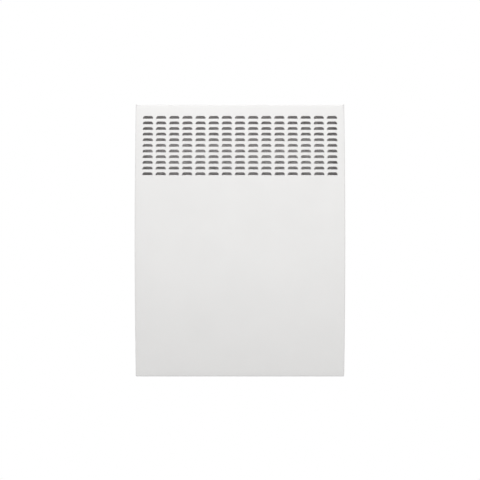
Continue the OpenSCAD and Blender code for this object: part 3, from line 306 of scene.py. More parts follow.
@dataclass(frozen=True)
class Galvanised(Surface):
    """Hot-dipped zinc on sheet steel, with its crystal spangle."""

    colour: Colour = (0.56, 0.58, 0.6)
    spangle: float = 5 * MM
    metallic: float = 0.85
    contrast: float = 0.05
    grain: float = 0.8 * MM
    grain_depth: float = 0.008 * MM
    roughness: Span = (0.42, 0.56)

    def build(self) -> bpy.types.Material:
        """Returns the material."""
        shader = Shader(self.name, Metallic=self.metallic)
        spangle = shader.cells(self.spangle, "Color")
        tone = shader.node("ShaderNodeSeparateColor", {}, {"Color": spangle})
        grain = shader.noise(self.grain)
        dark, light = self.shade(1 - self.contrast), self.shade(1 + self.contrast)
        shader.emboss(grain, self.grain_depth, 0.4)
        return shader.paint(
            Base_Color=shader.mix(tone * 0.75 + grain * 0.25, dark, light),
            Roughness=(tone * 0.5 + grain * 0.5).stretch(0, 1, *self.roughness),
        )


@dataclass(frozen=True)
class BrightZinc(Surface):
    """Plated fasteners: faintly yellow, with fine tool marks."""

    colour: Colour = (0.52, 0.515, 0.49)
    tint: Colour = (1.04, 1.0, 0.9)
    bloom: float = 4 * MM
    mark: float = 0.35 * MM
    mark_scale: Point = (1, 1, 6)
    mark_depth: float = 0.006 * MM
    roughness: Span = (0.24, 0.4)

    def build(self) -> bpy.types.Material:
        """Returns the material."""
        shader = Shader(self.name, Metallic=1.0)
        marks = shader.noise(self.mark, 4.0, shader.placed(self.mark_scale))
        bloom = shader.noise(self.bloom)
        warm = tuple(c * f for c, f in zip(self.colour, self.tint))
        shader.emboss(marks, self.mark_depth)
        return shader.paint(
            Base_Color=shader.mix(bloom.share(), self.colour, warm),
            Roughness=marks.gloss(self.roughness),
        )


@dataclass(frozen=True)
class CastMetal(Surface):
    """Die-cast or drawn metal with a matt skin."""

    grain: float = 0.7 * MM
    roughness: float = 0.5
    uneven: Span = (-0.07, 0.1)
    depth: float = 0.02 * MM
    cloud: float = 18 * MM
    dull: float = 0.82

    def build(self) -> bpy.types.Material:
        """Returns the material."""
        shader = Shader(self.name, Metallic=1.0)
        skin = shader.noise(self.grain, 4.0)
        mottle = (skin * 0.5 + shader.noise(self.cloud) * 0.5).share()
        shader.emboss(skin, self.depth)
        return shader.paint(
            Base_Color=shader.mix(mottle, self.shade(self.dull), self.colour),
            Roughness=skin.gloss(self.uneven, self.roughness),
        )


@dataclass(frozen=True)
class HeatTint(Surface):
    """Sheathed steel rod that has darkened and blued with heat."""

    colour: Colour = (0.2, 0.19, 0.19)
    brown: Colour = (0.3, 0.22, 0.16)
    blue: Colour = (0.2, 0.2, 0.26)
    band: float = 14 * MM
    band_scale: Point = (1, 0.1, 0.1)
    scale: float = 0.5 * MM
    scale_depth: float = 0.01 * MM
    roughness: Span = (0.38, 0.55)

    def build(self) -> bpy.types.Material:
        """Returns the material."""
        shader = Shader(self.name, Metallic=1.0)
        bands = shader.noise(self.band, 3.0, shader.placed(self.band_scale))
        scale = shader.noise(self.scale, 3.0)
        stops = [(0.3, self.colour), (0.5, self.brown), (0.7, self.blue)]
        tint = shader.node("ShaderNodeValToRGB", {"stops": stops}, {"Fac": bands})
        shader.emboss(scale, self.scale_depth)
        return shader.paint(Base_Color=tint, Roughness=scale.gloss(self.roughness))


@dataclass(frozen=True)
class Moulding(Surface):
    """Moulded plastic, rubber or ceramic with a fine eroded grain."""

    roughness: float = 0.5
    grain: float = 0.35 * MM
    depth: float = 0.012 * MM
    fleck: float = 0.94
    uneven: Span = (-0.05, 0.07)
    cloud: float = 22 * MM

    def build(self) -> bpy.types.Material:
        """Returns the material."""
        shader = Shader(self.name, Metallic=0.0)
        skin = shader.noise(self.grain, 3.0)
        mottle = (shader.noise(self.cloud) * 0.6 + skin * 0.4).share()
        shader.emboss(skin, self.depth, 0.6)
        return shader.paint(
            Base_Color=shader.mix(mottle, self.shade(self.fleck), self.colour),
            Roughness=skin.gloss(self.uneven, self.roughness),
        )


@dataclass(frozen=True)
class SolderMask(Surface):
    """Green board lacquer over copper tracks."""

    colour: Colour = (0.02, 0.16, 0.07)
    over_copper: float = 1.9
    tracks_per_metre: float = 60.0
    track_w: float = 0.06
    track_depth: float = 0.03 * MM
    ripple: float = 2 * MM
    roughness: Span = (0.22, 0.34)

    def build(self) -> bpy.types.Material:
        """Returns the material."""
        shader = Shader(self.name, Metallic=0.0, Coat_Roughness=0.15, Coat_Weight=0.4)
        black, white = (0, 0, 0), (1, 1, 1)
        values = {"Vector": shader.placed(turn=(0, math.pi / 2, 0)),
                  "Scale": self.tracks_per_metre, "Mortar Size": self.track_w,
                  "Color1": black, "Color2": black, "Mortar": white}
        track = shader.node("ShaderNodeTexBrick", {"offset": 0.5, "squash": 1.0}, values, "Fac")
        shader.emboss(track, self.track_depth, 0.6)
        return shader.paint(
            Base_Color=shader.mix(track, self.colour, self.shade(self.over_copper)),
            Roughness=shader.noise(self.ripple).gloss(self.roughness),
        )


@dataclass(frozen=True)
class TintedLens(Surface):
    """Clear tinted plastic over the pilot lamp."""

    colour: Colour = (0.9, 0.3, 0.03)
    deep: float = 0.6
    prism: float = 0.9 * MM
    prism_depth: float = 0.03 * MM
    prism_reach: float = 0.6
    roughness: Span = (0.08, 0.2)

    def build(self) -> bpy.types.Material:
        """Returns the material."""
        shader = Shader(self.name, Metallic=0.0, IOR=1.49, Transmission_Weight=0.55)
        prisms = shader.cells(self.prism)
        shader.emboss(prisms, self.prism_depth)
        share = prisms.stretch(0, self.prism_reach)
        return shader.paint(
            Base_Color=shader.mix(share, self.colour, self.shade(self.deep)),
            Roughness=prisms.stretch(0, self.prism_reach, *self.roughness),
        )


@dataclass(frozen=True)
class WireCover(Surface):
    """Silicone wire cover, with a second colour in stripes where it has one."""

    stripe: Colour | None = None
    stripe_scale: float = 0.16 / (4.5 * MM)
    dull: float = 0.88
    grain: float = 0.6 * MM
    depth: float = 0.008 * MM
    roughness: Span = (0.42, 0.56)

    def build(self) -> bpy.types.Material:
        """Returns the material."""
        shader = Shader(self.name, Metallic=0.0)
        skin = shader.noise(self.grain, 3.0)
        cover = shader.mix(skin, self.shade(self.dull), self.colour)
        if self.stripe:
            values = {"Vector": shader.coordinates(), "Scale": self.stripe_scale}
            bands = shader.node("ShaderNodeTexWave", {"bands_direction": "DIAGONAL"}, values, 1)
            cover = shader.mix(bands > 0.5, cover, self.stripe)
        shader.emboss(skin, self.depth)
        return shader.paint(Base_Color=cover, Roughness=skin.gloss(self.roughness))


class Finish(Enum):
    """The finishes that the heater's parts come in."""

    CASING = PowderCoat("casing_paint", (0.866, 0.86, 0.851))
    BRACKET = PowderCoat("bracket_paint", (0.72, 0.73, 0.73), 0.45)
    SHEET = Galvanised("galvanised_sheet")
    # Painted light: a lighter, far less metallic copy of the galvanised sheet for the air
    # deflector, whose brighter colour stands in for light that hardly reaches it inside the casing
    DUCT = Galvanised("duct_sheet", (0.72, 0.7, 0.7), metallic=0.15)
    ZINC = BrightZinc("zinc_steel")
    FINS = CastMetal("fin_aluminium", (0.66, 0.66, 0.67))
    ROD = HeatTint("sheath_steel")
    BRASS = CastMetal("tag_brass", (0.78, 0.6, 0.3), 0.4 * MM, 0.34)
    CERAMIC = Moulding("ceramic", (0.78, 0.73, 0.64), 0.62, 0.5 * MM)
    BLACK = Moulding("black_moulding", (0.028, 0.028, 0.03), 0.48, 0.3 * MM, fleck=0.75)
    RUBBER = Moulding("black_rubber", (0.022, 0.022, 0.022), 0.72, 0.5 * MM, 0.02 * MM, 0.7)
    HOUSING = Moulding("housing_grey", (0.24, 0.245, 0.25), 0.55)
    FASCIA = Moulding("fascia_grey", (0.5, 0.51, 0.515))
    BOARD = SolderMask("board_green")
    COMPONENT = Moulding("component_black", (0.02, 0.02, 0.024), 0.36, 0.4 * MM, 0.01 * MM, 0.8)
    CAPACITOR = Moulding("capacitor_yellow", (0.75, 0.42, 0.03), 0.3, 1.2 * MM)
    KNOB = Moulding("knob_white", (0.8, 0.8, 0.78), 0.38, 0.3 * MM, 0.006 * MM, 0.97)
    SLIDER = Moulding("slider_dark", (0.06, 0.06, 0.065), 0.45)
    LENS = TintedLens("lens_amber")
    NYLON = Moulding("nylon", (0.74, 0.7, 0.58), 0.46)
    OUTLET = Moulding("outlet_grey", (0.09, 0.09, 0.095), 0.52)
    BROWN = WireCover("lead_brown", (0.16, 0.055, 0.02))
    BLUE = WireCover("lead_blue", (0.02, 0.08, 0.34))
    EARTH = WireCover("lead_green_yellow", (0.04, 0.26, 0.05), (0.72, 0.6, 0.03))
    VINYL = WireCover("lead_grey", (0.14, 0.14, 0.145))
    INK = Moulding("dial_print", (0.03, 0.03, 0.035), 0.6)
    MARKING = Moulding("knob_marking", (0.04, 0.04, 0.045))


class Palette:
    """Builds each finish once, when it is first asked for."""

    def __init__(self) -> None:
        """Starts with no materials built."""
        self.built: dict[Finish, bpy.types.Material] = {}

    def __getitem__(self, finish: Finish) -> bpy.types.Material:
        """Returns the material of a finish."""
        if finish not in self.built:
            self.built[finish] = finish.value.build()
        return self.built[finish]


# Modelling tools


def anything(part: Any) -> bool:
    """Picks every vertex, edge or face."""
    return True


def at(axis: int, value: float, room: float = SAME) -> Rule:
    """Makes a rule that picks edges which lie at one place on an axis."""
    return lambda ends: all(abs(p[axis] - value) < room for p in ends)


def nearest(places: Sequence[float], value: float) -> int:
    """Returns which of some places, counted out from the middle, a value on either side is near."""
    return min(range(len(places)), key=lambda i: abs(places[i] - abs(value)))


class Bench:
    """Models one mesh with Blender's own edit tools, with places picked by rule."""

    def __init__(self, piece: bpy.types.Object) -> None:
        """Takes a mesh object to work on."""
        self.piece = piece

    @staticmethod
    def clear() -> None:
        """Deselects everything."""
        if bpy.context.object and bpy.context.object.mode != "OBJECT":
            bpy.ops.object.mode_set(mode="OBJECT")
        bpy.ops.object.select_all(action="DESELECT")

    @classmethod
    def new(cls, add: Callable[..., Any], name: str, **options: Any) -> "Bench":
        """Adds a primitive and names it.

        Args:
            add: a primitive operator.
            name: the new object's name.
            options: the operator's own options.

        Returns:
            A bench that holds the new object.
        """
        cls.clear()
        add(**options)
        bpy.context.object.name = name
        return cls(bpy.context.object)

    @classmethod
    def slab(cls, name: str, size: Point, place: Point) -> "Bench":
        """Adds a box by its size and middle."""
        cube = bpy.ops.mesh.primitive_cube_add
        return cls.new(cube, name, size=1, location=place, scale=size).settle()

    @classmethod
    def block(cls, name: str, low: Point, high: Point) -> "Bench":
        """Adds a box by two opposite corners."""
        size = tuple(b - a for a, b in zip(low, high))
        return cls.slab(name, size, tuple((a + b) / 2 for a, b in zip(low, high)))

    @classmethod
    def drill(cls, sides: int, radius: float, depth: float, place: Point, turn: Point) -> "Bench":
        """Adds a round cutter by its middle.

        Args:
            sides: how many flat sides stand for the round.
            radius: the cutter's radius.
            depth: its length.
            place: its middle.
            turn: its turn, as angles round x, y and z.

        Returns:
            A bench that holds the cutter.
        """
        rod = bpy.ops.mesh.primitive_cylinder_add
        return cls.new(rod, "drill", vertices=sides, radius=radius, depth=depth, location=place,
                       rotation=turn).settle()

    @classmethod
    def copy(cls, source: bpy.types.Object) -> "Bench":
        """Copies an object with a mesh of its own.

        Args:
            source: the object that is copied.

        Returns:
            A bench that holds the copy.
        """
        piece = source.copy()
        piece.data = source.data.copy()
        bpy.context.scene.collection.objects.link(piece)
        return cls(piece)

    @staticmethod
    def joined(benches: Sequence["Bench"]) -> "Bench":
        """Joins several pieces into the first.

        Args:
            benches: the pieces.

        Returns:
            The first of them, with all the rest in it.
        """
        benches[0].focus()
        for bench in benches[1:]:
            bench.piece.select_set(True)
        bpy.ops.object.join()
        return benches[0]

    def focus(self) -> None:
        """Makes the piece the only selected and active object."""
        self.clear()
        self.piece.select_set(True)
        bpy.context.view_layer.objects.active = self.piece

    def settle(self) -> "Bench":
        """Moves the object's place, turn and scale into its mesh."""
        self.focus()
        bpy.ops.object.transform_apply(location=True, rotation=True, scale=True)
        return self

    def move_points(self, mover: Mover, selected: bool = False) -> "Bench":
        """Puts vertices where a rule says.

        Args:
            mover: takes a vertex's place and returns its new one.
            selected: move only what the last operator left selected.

        Returns:
            This bench.
        """
        for vertex in self.piece.data.vertices:
            if vertex.select or not selected:
                vertex.co = mover(vertex.co)
        self.piece.data.update()
        return self

    def edit(self, kind: str, rule: Rule, tool: Callable[..., Any], **options: Any) -> "Bench":
        """Uses one edit-mode operator on what a rule picks.

        Args:
            kind: VERT, EDGE or FACE.
            rule: takes a vertex's place, an edge's two end places, or a face.
            tool: the operator.
            options: the operator's own options.

        Returns:
            This bench.
        """
        self.focus()
        bpy.ops.object.mode_set(mode="EDIT")
        bpy.ops.mesh.select_mode(type=kind)
        bpy.ops.mesh.select_all(action="DESELECT")
        bpy.ops.object.mode_set(mode="OBJECT")
        mesh = self.piece.data
        if kind == "VERT":
            parts = ((vertex, vertex.co) for vertex in mesh.vertices)
        elif kind == "EDGE":
            parts = ((edge, [mesh.vertices[i].co for i in edge.vertices]) for edge in mesh.edges)
        else:
            parts = ((face, face) for face in mesh.polygons)
        for part, seen in parts:
            part.select = bool(rule(seen))
        bpy.ops.object.mode_set(mode="EDIT")
        tool(**options)
        bpy.ops.object.mode_set(mode="OBJECT")
        return self

    def round_along(self, axis: int, radius: float, steps: int) -> "Bench":
        """Rounds the edges of a box that run along an axis.

        Args:
            axis: 0, 1 or 2 for x, y or z.
            radius: size of the round.
            steps: segments across it.

        Returns:
            This bench.
        """
        return self.edit("EDGE", lambda ends: abs(ends[0][axis] - ends[1][axis]) > NEAR,
                         bpy.ops.mesh.bevel, offset=radius, segments=steps)

    def modify(self, kind: str, **settings: Any) -> "Bench":
        """Adds a modifier with its settings and applies it.

        Args:
            kind: the modifier's type.
            settings: its settings, by name.

        Returns:
            This bench.
        """
        self.focus()
        modifier = self.piece.modifiers.new(kind.lower(), kind)
        for name, value in settings.items():
            setattr(modifier, name, value)
        bpy.ops.object.modifier_apply(modifier=modifier.name)
        return self

    def weld(self, distance: float = 2 * SAME) -> "Bench":
        """Merges vertices that share a place."""
        return self.edit("VERT", anything, bpy.ops.mesh.remove_doubles, threshold=distance)

    def clean(self) -> "Bench":
        """Merges vertices that share a place, and drops edges and faces with no size."""
        return self.weld().edit("FACE", anything, bpy.ops.mesh.dissolve_degenerate, threshold=SAME)

    def smooth(self, degrees: float = 30.0) -> "Bench":
        """Shades the piece smooth up to an angle.

        Args:
            degrees: the angle.

        Returns:
            This bench.
        """
        self.focus()
        bpy.ops.object.shade_smooth_by_angle(angle=math.radians(degrees), keep_sharp_edges=False)
        return self

    def cut(self, tool: "Bench", operation: str = "DIFFERENCE") -> "Bench":
        """Cuts a closed tool out of the piece, or adds it, and removes the tool.

        Args:
            tool: the closed tool.
            operation: DIFFERENCE, or UNION to add it.

        Returns:
            This bench.
        """
        self.modify("BOOLEAN", operation=operation, solver="EXACT", object=tool.piece)
        bpy.data.objects.remove(tool.piece, do_unlink=True)
        return self


class Workshop:
    """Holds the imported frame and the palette, and places finished pieces."""

    def __init__(self, frame: dict[str, Any], palette: Palette) -> None:
        """Takes what it needs from the frame.

        Args:
            frame: the loaded frame.
            palette: builds the finishes.
        """
        self.nodes = frame["nodes"]
        self.palette = palette
        record = frame["record"]
        self.slots = {part["node"]: part["material_slot"] for part in record["subparts"]}
        self.body_of = {
            node: body for body, nodes in record["behaviour"]["bodies"].items() for node in nodes}

    def coat(self, piece: bpy.types.Object, finish: Finish) -> None:
        """Gives a piece or a construction node one finish all over."""
        piece.data.materials.clear()
        piece.data.materials.append(self.palette[finish])

    def dress(self, finish: Finish, *nodes: str) -> None:
        """Finishes construction nodes that keep their own shape.

        Args:
            finish: their finish.
            nodes: names of the nodes.
        """
        for node in nodes:
            self.coat(self.nodes[node], finish)
            log.info("%s keeps its shape, in %s", node, finish.value.name)

    def mount(self, bench: Bench, body: str, finish: Finish, slot: str, *nodes: str) -> None:
        """Finishes a new piece and fixes it to a body.

        Args:
            bench: holds the finished mesh.
            body: the body that it moves with.
            finish: its finish.
            slot: the material slot that it stands for, which is not used.
            nodes: construction nodes that it replaces.
        """
        piece = bench.piece
        self.coat(piece, finish)
        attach(piece, body)
        if nodes:
            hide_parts(*nodes)
        log.info("%s rides on %s, %d faces", piece.name, body, len(piece.data.polygons))

    def ease(self, finish: Finish, radius: float, *nodes: str, steps: int = 2,
             angle: float = SHARP) -> None:
        """Stands a copy of each node in for it, with its hard edges eased.

        Args:
            finish: its finish.
            radius: size of the eased edge, or nothing for smooth shading alone.
            nodes: the construction nodes.
            steps: segments across the edge.
            angle: edges sharper than this many degrees are eased.
        """
        for node in nodes:
            bench = Bench.copy(self.nodes[node])
            bench.piece.name = node + "_eased"
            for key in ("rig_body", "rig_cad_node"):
                if key in bench.piece:
                    del bench.piece[key]
            bench.piece.parent = None
            bench.weld().edit("FACE", anything, bpy.ops.mesh.dissolve_limited,
                              angle_limit=math.radians(FLAT))
            if radius > 0:
                bench.modify("BEVEL", width=radius, segments=steps, limit_method="ANGLE",
                             angle_limit=math.radians(angle), use_clamp_overlap=True)
                bench.clean()
            bench.smooth(angle)
            self.mount(bench, self.body_of[node], finish, self.slots[node], node)


# The heater


@dataclass
class Casing:
    """The folded front sheet with its lanced louvres."""

    shop: Workshop
    width: float = 346 * MM
    height: float = 451 * MM
    rear: float = -20.8 * MM
    crown: float = -97.94 * MM
    bow: float = 1280 * MM
    sheet: float = 0.8 * MM
    fold: float = 2 * MM
    fold_steps: int = 8
    side_fold: float = 1.6 * MM
    side_steps: int = 5
    flange: float = 12 * MM
    rear_fold: float = 1 * MM
    rear_steps: int = 3
    rows_above: int = 2
    rows_below: int = 34
    louvre: Span = (16.6 * MM, 4.6 * MM)
    corner: float = 3.6 * MM
    corner_steps: int = 6
    pitch: Span = (21.76 * MM, 9.49 * MM)
    grid: tuple[int, int] = (15, 11)
    from_top: float = 21 * MM
    lip: float = 1 * MM
    lip_steps: int = 4
    slit: float = 0.3 * MM
    notch: float = 0.9 * MM
    notch_depth: float = 1.6 * MM
    notch_past: float = 2 * MM
    ear_rise: float = 0.5 * MM
    screw_inset: float = 6.4 * MM
    screw_hole: float = 1.8 * MM
    screw_sides: int = 24
    screws_across: float = 0.75
    screws_up: float = 0.42
    through: float = 3 * MM
    window: tuple[float, float, float, float] = (-54.4 * MM, 38.04 * MM, 46 * MM, 112 * MM)
    window_corner: float = 5 * MM
    inlet: Span = (20 * MM, 7 * MM)
    inlet_pitch: Span = (26 * MM, 12 * MM)
    inlet_steps: int = 8

    def __post_init__(self) -> None:
        """Works out the places that follow from the driving sizes."""
        reach = self.bow - self.fold
        self.axis_y = self.crown + self.bow
        self.end_angle = math.asin((self.height / 2 - self.fold) / reach)
        self.end_run = self.bow * self.end_angle
        self.fold_y = self.axis_y - reach * math.cos(self.end_angle)
        self.fold_z = reach * math.sin(self.end_angle)
        self.first_row = self.bow * math.asin((self.height / 2 - self.from_top) / self.bow)
        self.flat_x = self.width / 2 - self.side_fold

    def border(self, place: Vector) -> Point:
        """Maps a point of the louvre's outline out to the border of its cell.

        Args:
            place: the point, on the flat sheet.

        Returns:
            Its place on the border.
        """
        half_w, half_h = self.pitch[0] / 2, self.pitch[1] / 2
        inner = self.louvre[0] / 2 - self.corner
        pivot = self.louvre[1] / 2 - self.corner
        side = math.copysign(1, place.x)
        if place.z < -self.louvre[1] / 2:
            knot = nearest(self.lower_edge(), place.x)
            out = (half_w - inner) * knot / (self.corner_steps // 2)
            return (side * (inner + out), 0, -half_h)
        turn = math.degrees(math.atan2(place.z - pivot, abs(place.x) - inner))
        middle = 45
        if turn <= middle:
            return (side * half_w, 0, pivot + (half_h - pivot) * max(turn, 0) / middle)
        return (side * (half_w + (inner - half_w) * (turn - middle) / middle), 0, half_h)

    def lower_edge(self) -> list[float]:
        """Returns the x places along the louvre's lower edge, from its middle out."""
        half = self.louvre[0] / 2
        inner, root = half - self.corner, half - self.slit
        return [inner, (inner + root) / 2, root, half]

    def cell(self) -> Bench:
        """Models one louvre: its outline, its border, and the tab along its lower edge.

        Returns:
            The louvre, flat and in the middle of the sheet.
        """
        mesh = bpy.ops.mesh
        wide, high = self.louvre
        low = -high / 2 - self.lip
        bench = Bench.new(mesh.primitive_plane_add, "casing", size=1, rotation=(math.pi / 2, 0, 0))
        bench.settle().move_points(lambda p: (p.x * wide, 0, low if p.z < 0 else high / 2))
        bench.edit("VERT", lambda p: p.z > 0, mesh.bevel,
                   offset=self.corner, segments=self.corner_steps, affect="VERTICES")
        knots = self.lower_edge()
        parts = 2 * len(knots) - 1
        bench.edit("EDGE", at(2, low), mesh.subdivide, number_cuts=parts - 1)
        evenly = [wide * (i + 0.5) / parts for i in range(len(knots))]
        bench.move_points(lambda p: (
            (math.copysign(knots[nearest(evenly, p.x)], p.x), 0, p.z)
            if abs(p.z - low) < SAME else p))
        bench.edit("EDGE", anything, mesh.extrude_edges_move)
        bench.move_points(self.border, selected=True)
        bench.edit("FACE", lambda face: len(face.vertices) > 4, mesh.delete, type="ONLY_FACE")
        return self.tab(bench, low)

    def tab(self, bench: Bench, low: float) -> Bench:
        """Rolls the lower edge inwards and runs it on as a tab with rounded far corners.

        Args:
            bench: the louvre.
            low: height of its lower edge.

        Returns:
            The louvre with its tab.
        """
        half = self.louvre[0] / 2 - self.slit
        inner = self.louvre[0] / 2 - self.corner
        radius = self.corner - self.slit
        depth = self.louvre[1]
        bend = depth - radius
        bench.edit("EDGE", lambda ends: all(
            abs(p.z - low) < SAME and abs(p.x) < half + SAME for p in ends),
            bpy.ops.mesh.spin, steps=self.lip_steps, angle=math.pi / 2,
            center=(0, self.lip, low), axis=(1, 0, 0))
        turns = [math.radians(degrees) for degrees in (30, 45, 60)]
        middle = bend + radius * math.sin(turns[0])
        edge = self.lip
        for to in (bend, middle, depth):
            bench.edit("EDGE", at(1, edge), bpy.ops.mesh.extrude_edges_move,
                       TRANSFORM_OT_translate={"value": (0, to - edge, 0)})
            edge = to

        def round_off(p: Vector) -> Sequence[float]:
            """Draws the tab's two outer rows in to the corner's arc.

            Args:
                p: a point of the louvre.

            Returns:
                Its new place.
            """
            if abs(p.y - middle) < SAME and abs(p.x) > half - SAME:
                return (math.copysign(inner + radius * math.cos(turns[0]), p.x), p.y, p.z)
            if abs(p.y - depth) < SAME and abs(p.x) > inner + SAME:
                turn = turns[1] if abs(p.x) > half - SAME else turns[2]
                return (math.copysign(inner + radius * math.cos(turn), p.x),
                        bend + radius * math.sin(turn), p.z)
            return p

        return bench.move_points(round_off)

    def louvre_field(self) -> Bench:
        """Repeats the louvre over its grid, still flat.

        Returns:
            The whole field as one mesh.
        """
        bench = self.cell()
        columns, rows = self.grid
        start = -self.pitch[0] * (columns - 1) / 2
        bench.move_points(lambda p: (p.x + start, p.y, p.z + self.first_row))
        for count, step in ((columns, (self.pitch[0], 0, 0)), (rows, (0, 0, -self.pitch[1]))):
            bench.modify("ARRAY", count=count, constant_offset_displace=step,
                         use_relative_offset=False, use_constant_offset=True,
                         use_merge_vertices=True, merge_threshold=NEAR)
        return bench.weld(NEAR)

    def draw_out(self, bench: Bench, axis: int, start: float, end: float, rows: int) -> None:
        """Extends the flat sheet from one straight edge.

        Args:
            bench: the sheet.
            axis: 0 to extend along x, 2 along z.
            start: where the edge lies.
            end: where it goes to.
            rows: rows of faces on the way.
        """
        shift = [0.0, 0.0, 0.0]
        shift[axis] = end - start
        bench.edit("EDGE", lambda ends: all(
            abs(p[axis] - start) < 2 * NEAR and abs(p.y) < SAME for p in ends),
            bpy.ops.mesh.extrude_edges_move, TRANSFORM_OT_translate={"value": shift})
        if rows > 1:
            bench.edit("EDGE", lambda ends: abs(
                abs(ends[0][axis] - ends[1][axis]) - abs(end - start)) < 10 * NEAR,
                bpy.ops.mesh.subdivide, number_cuts=rows - 1)

    def on_bow(self, place: Vector) -> Point:
        """Wraps a point of the flat sheet on to the bow."""
        reach, turn = self.bow - place.y, place.z / self.bow
        return (place.x, self.axis_y - reach * math.cos(turn), reach * math.sin(turn))

    def skin(self) -> Bench:
        """Models the outer face of the whole sheet, with its folds and its rear flange.

        Returns:
            The sheet, without thickness.
        """
        bench = self.louvre_field()
        columns, rows = self.grid
        side = self.pitch[0] * columns / 2
        top = self.first_row + self.pitch[1] / 2
        self.draw_out(bench, 2, top, self.end_run, self.rows_above)
        self.draw_out(bench, 2, top - self.pitch[1] * rows, -self.end_run, self.rows_below)
        for s in (-1, 1):
            edge = s * self.flat_x
            self.draw_out(bench, 0, s * side, edge, 1)
            bench.edit("EDGE", at(0, edge, NEAR), bpy.ops.mesh.spin, steps=self.side_steps,
                       angle=-s * math.pi / 2, axis=(0, 0, 1), center=(edge, self.side_fold, 0))
        bench.move_points(self.on_bow)
        self.roll_ends(bench)
        self.run_back(bench)
        bench.weld(NEAR / 2)
        return bench.edit("FACE", anything, bpy.ops.mesh.normals_make_consistent, inside=False)

    def roll_ends(self, bench: Bench) -> None:
        """Rolls the upper and lower ends over into the top and bottom walls.

        Args:
            bench: the sheet, on its bow.
        """
        turn = math.pi / 2 - self.end_angle
        for s in (-1, 1):
            line = (-math.cos(self.end_angle), s * math.sin(self.end_angle))

            def at_end(p: Vector) -> bool:
                """Says whether a point lies on the radial plane where the bow ends."""
                off = (p.y - self.fold_y) * line[1] - (p.z - s * self.fold_z) * line[0]
                return abs(off) < NEAR and s * p.z > 0

            bench.edit("EDGE", lambda ends: all(at_end(p) for p in ends), bpy.ops.mesh.spin,
                       steps=self.fold_steps, angle=s * turn, axis=(1, 0, 0),
                       center=(0, self.fold_y, s * self.fold_z))

    def run_back(self, bench: Bench) -> None:
        """Runs all four walls back from the front's edge and turns the rear flange in.

        Args:
            bench: the sheet, with all four folds.
        """
        half_w, half_h = self.width / 2, self.height / 2
        flange_w, flange_h = half_w - self.flange, half_h - self.flange
        extrude = bpy.ops.mesh.extrude_edges_move
        at_rear = at(1, self.rear)

        def at_wall(p: Vector) -> bool:
            """Says whether a point lies on one of the four walls."""
            return abs(p.x) > half_w - NEAR or abs(p.z) > half_h - NEAR or self.at_corner(p)

        rim = self.open_edges(bench)
        bench.edit("EDGE", lambda ends: frozenset(tuple(p) for p in ends) in rim, extrude)
        bench.move_points(lambda p: (p.x, self.rear, p.z), selected=True)
        bench.edit("EDGE", at_rear, extrude)
        bench.move_points(lambda p: (
            max(-flange_w, min(flange_w, p.x)), self.rear, max(-flange_h, min(flange_h, p.z))),
            selected=True)
        bench.edit("EDGE", lambda ends: at_rear(ends) and all(at_wall(p) for p in ends),
                   bpy.ops.mesh.bevel, offset=self.rear_fold, segments=self.rear_steps,
                   affect="EDGES")

    def open_edges(self, bench: Bench) -> set[frozenset]:
        """Finds the edges round the sheet's outer rim.

        Args:
            bench: the sheet.

        Returns:
            The two end places of each edge.
        """
        mesh = bench.piece.data
        uses: dict[tuple[int, int], int] = {}
        for face in mesh.polygons:
            for key in face.edge_keys:
                uses[key] = uses.get(key, 0) + 1
        reach, crest = self.width / 2 - NEAR, self.height / 2 - NEAR
        rim = set()
        for key, count in uses.items():
            ends = [mesh.vertices[i].co for i in key]
            if count == 1 and all(
                    abs(p.x) > reach or abs(p.z) > crest or self.at_corner(p) for p in ends):
                rim.add(frozenset(tuple(p) for p in ends))
        return rim

    def at_corner(self, p: Vector) -> bool:
        """Says whether a point is on a rounded edge between a side and the top or bottom."""
        return (abs(p.x) > self.flat_x - NEAR
                and abs(p.z) > self.height / 2 - self.side_fold - NEAR)

    def window_tool(self) -> Bench:
        """Models the cutter for the control window.

        Returns:
            The cutter.
        """
        y, z, wide, high = self.window
        tool = Bench.slab("window_tool", (2 * self.through, wide, high), (self.width / 2, y, z))
        return tool.round_along(0, self.window_corner, self.corner_steps)

    def inlet_tools(self) -> Bench:
        """Models the cutters for the inlet slots in the bottom wall.

        Returns:
            The cutters, as one mesh.
        """
        (long, wide), (along, across) = self.inlet, self.inlet_pitch
        middle = (self.rear - self.sheet - self.flange + self.fold_y) / 2
        count = int((self.width - 2 * self.flange - long) / along)
        pattern = Bench.slab("inlet_tool", (long, wide, self.through), (0, 0, 0))
        pattern.round_along(2, wide / 2 - SAME, self.inlet_steps)
        tools = []
        for i in range(count + 1):
            for row in (-1, 1):
                shift = Vector(((i - count / 2) * along, middle + row * across / 2,
                                -self.height / 2))
                tools.append(Bench.copy(pattern.piece).move_points(lambda p: p + shift))
        bpy.data.objects.remove(pattern.piece, do_unlink=True)
        return Bench.joined(tools)

    def notch_tools(self) -> Bench:
        """Models the cutters for the relief notch beside each top corner.

        Returns:
            The cutters, as one mesh.
        """
        past = self.notch_past
        back = self.fold_y + past
        size = (self.notch, back - self.crown, 2 * past)
        x, z = self.flat_x - self.notch, self.height / 2 - self.notch_depth + past
        return Bench.joined([
            Bench.slab("notch_tool", size, (s * x, (back + self.crown) / 2, z)) for s in (-1, 1)])

    def screw_tools(self) -> Bench:
        """Models the cutters for the casing screws' holes in the rear flange.

        Returns:
            The cutters, as one mesh.
        """
        x, z = self.width / 2 - self.screw_inset, self.height / 2 - self.screw_inset
        places = [(i * x * self.screws_across, s * z) for s in (-1, 1) for i in (-1, 0, 1)]
        places += [(s * x, i * z * self.screws_up) for s in (-1, 1) for i in (-1, 1)]
        return Bench.joined([
            Bench.drill(self.screw_sides, self.screw_hole, self.through, (px, self.rear, pz),
                        (math.pi / 2, 0, 0))
            for px, pz in places])

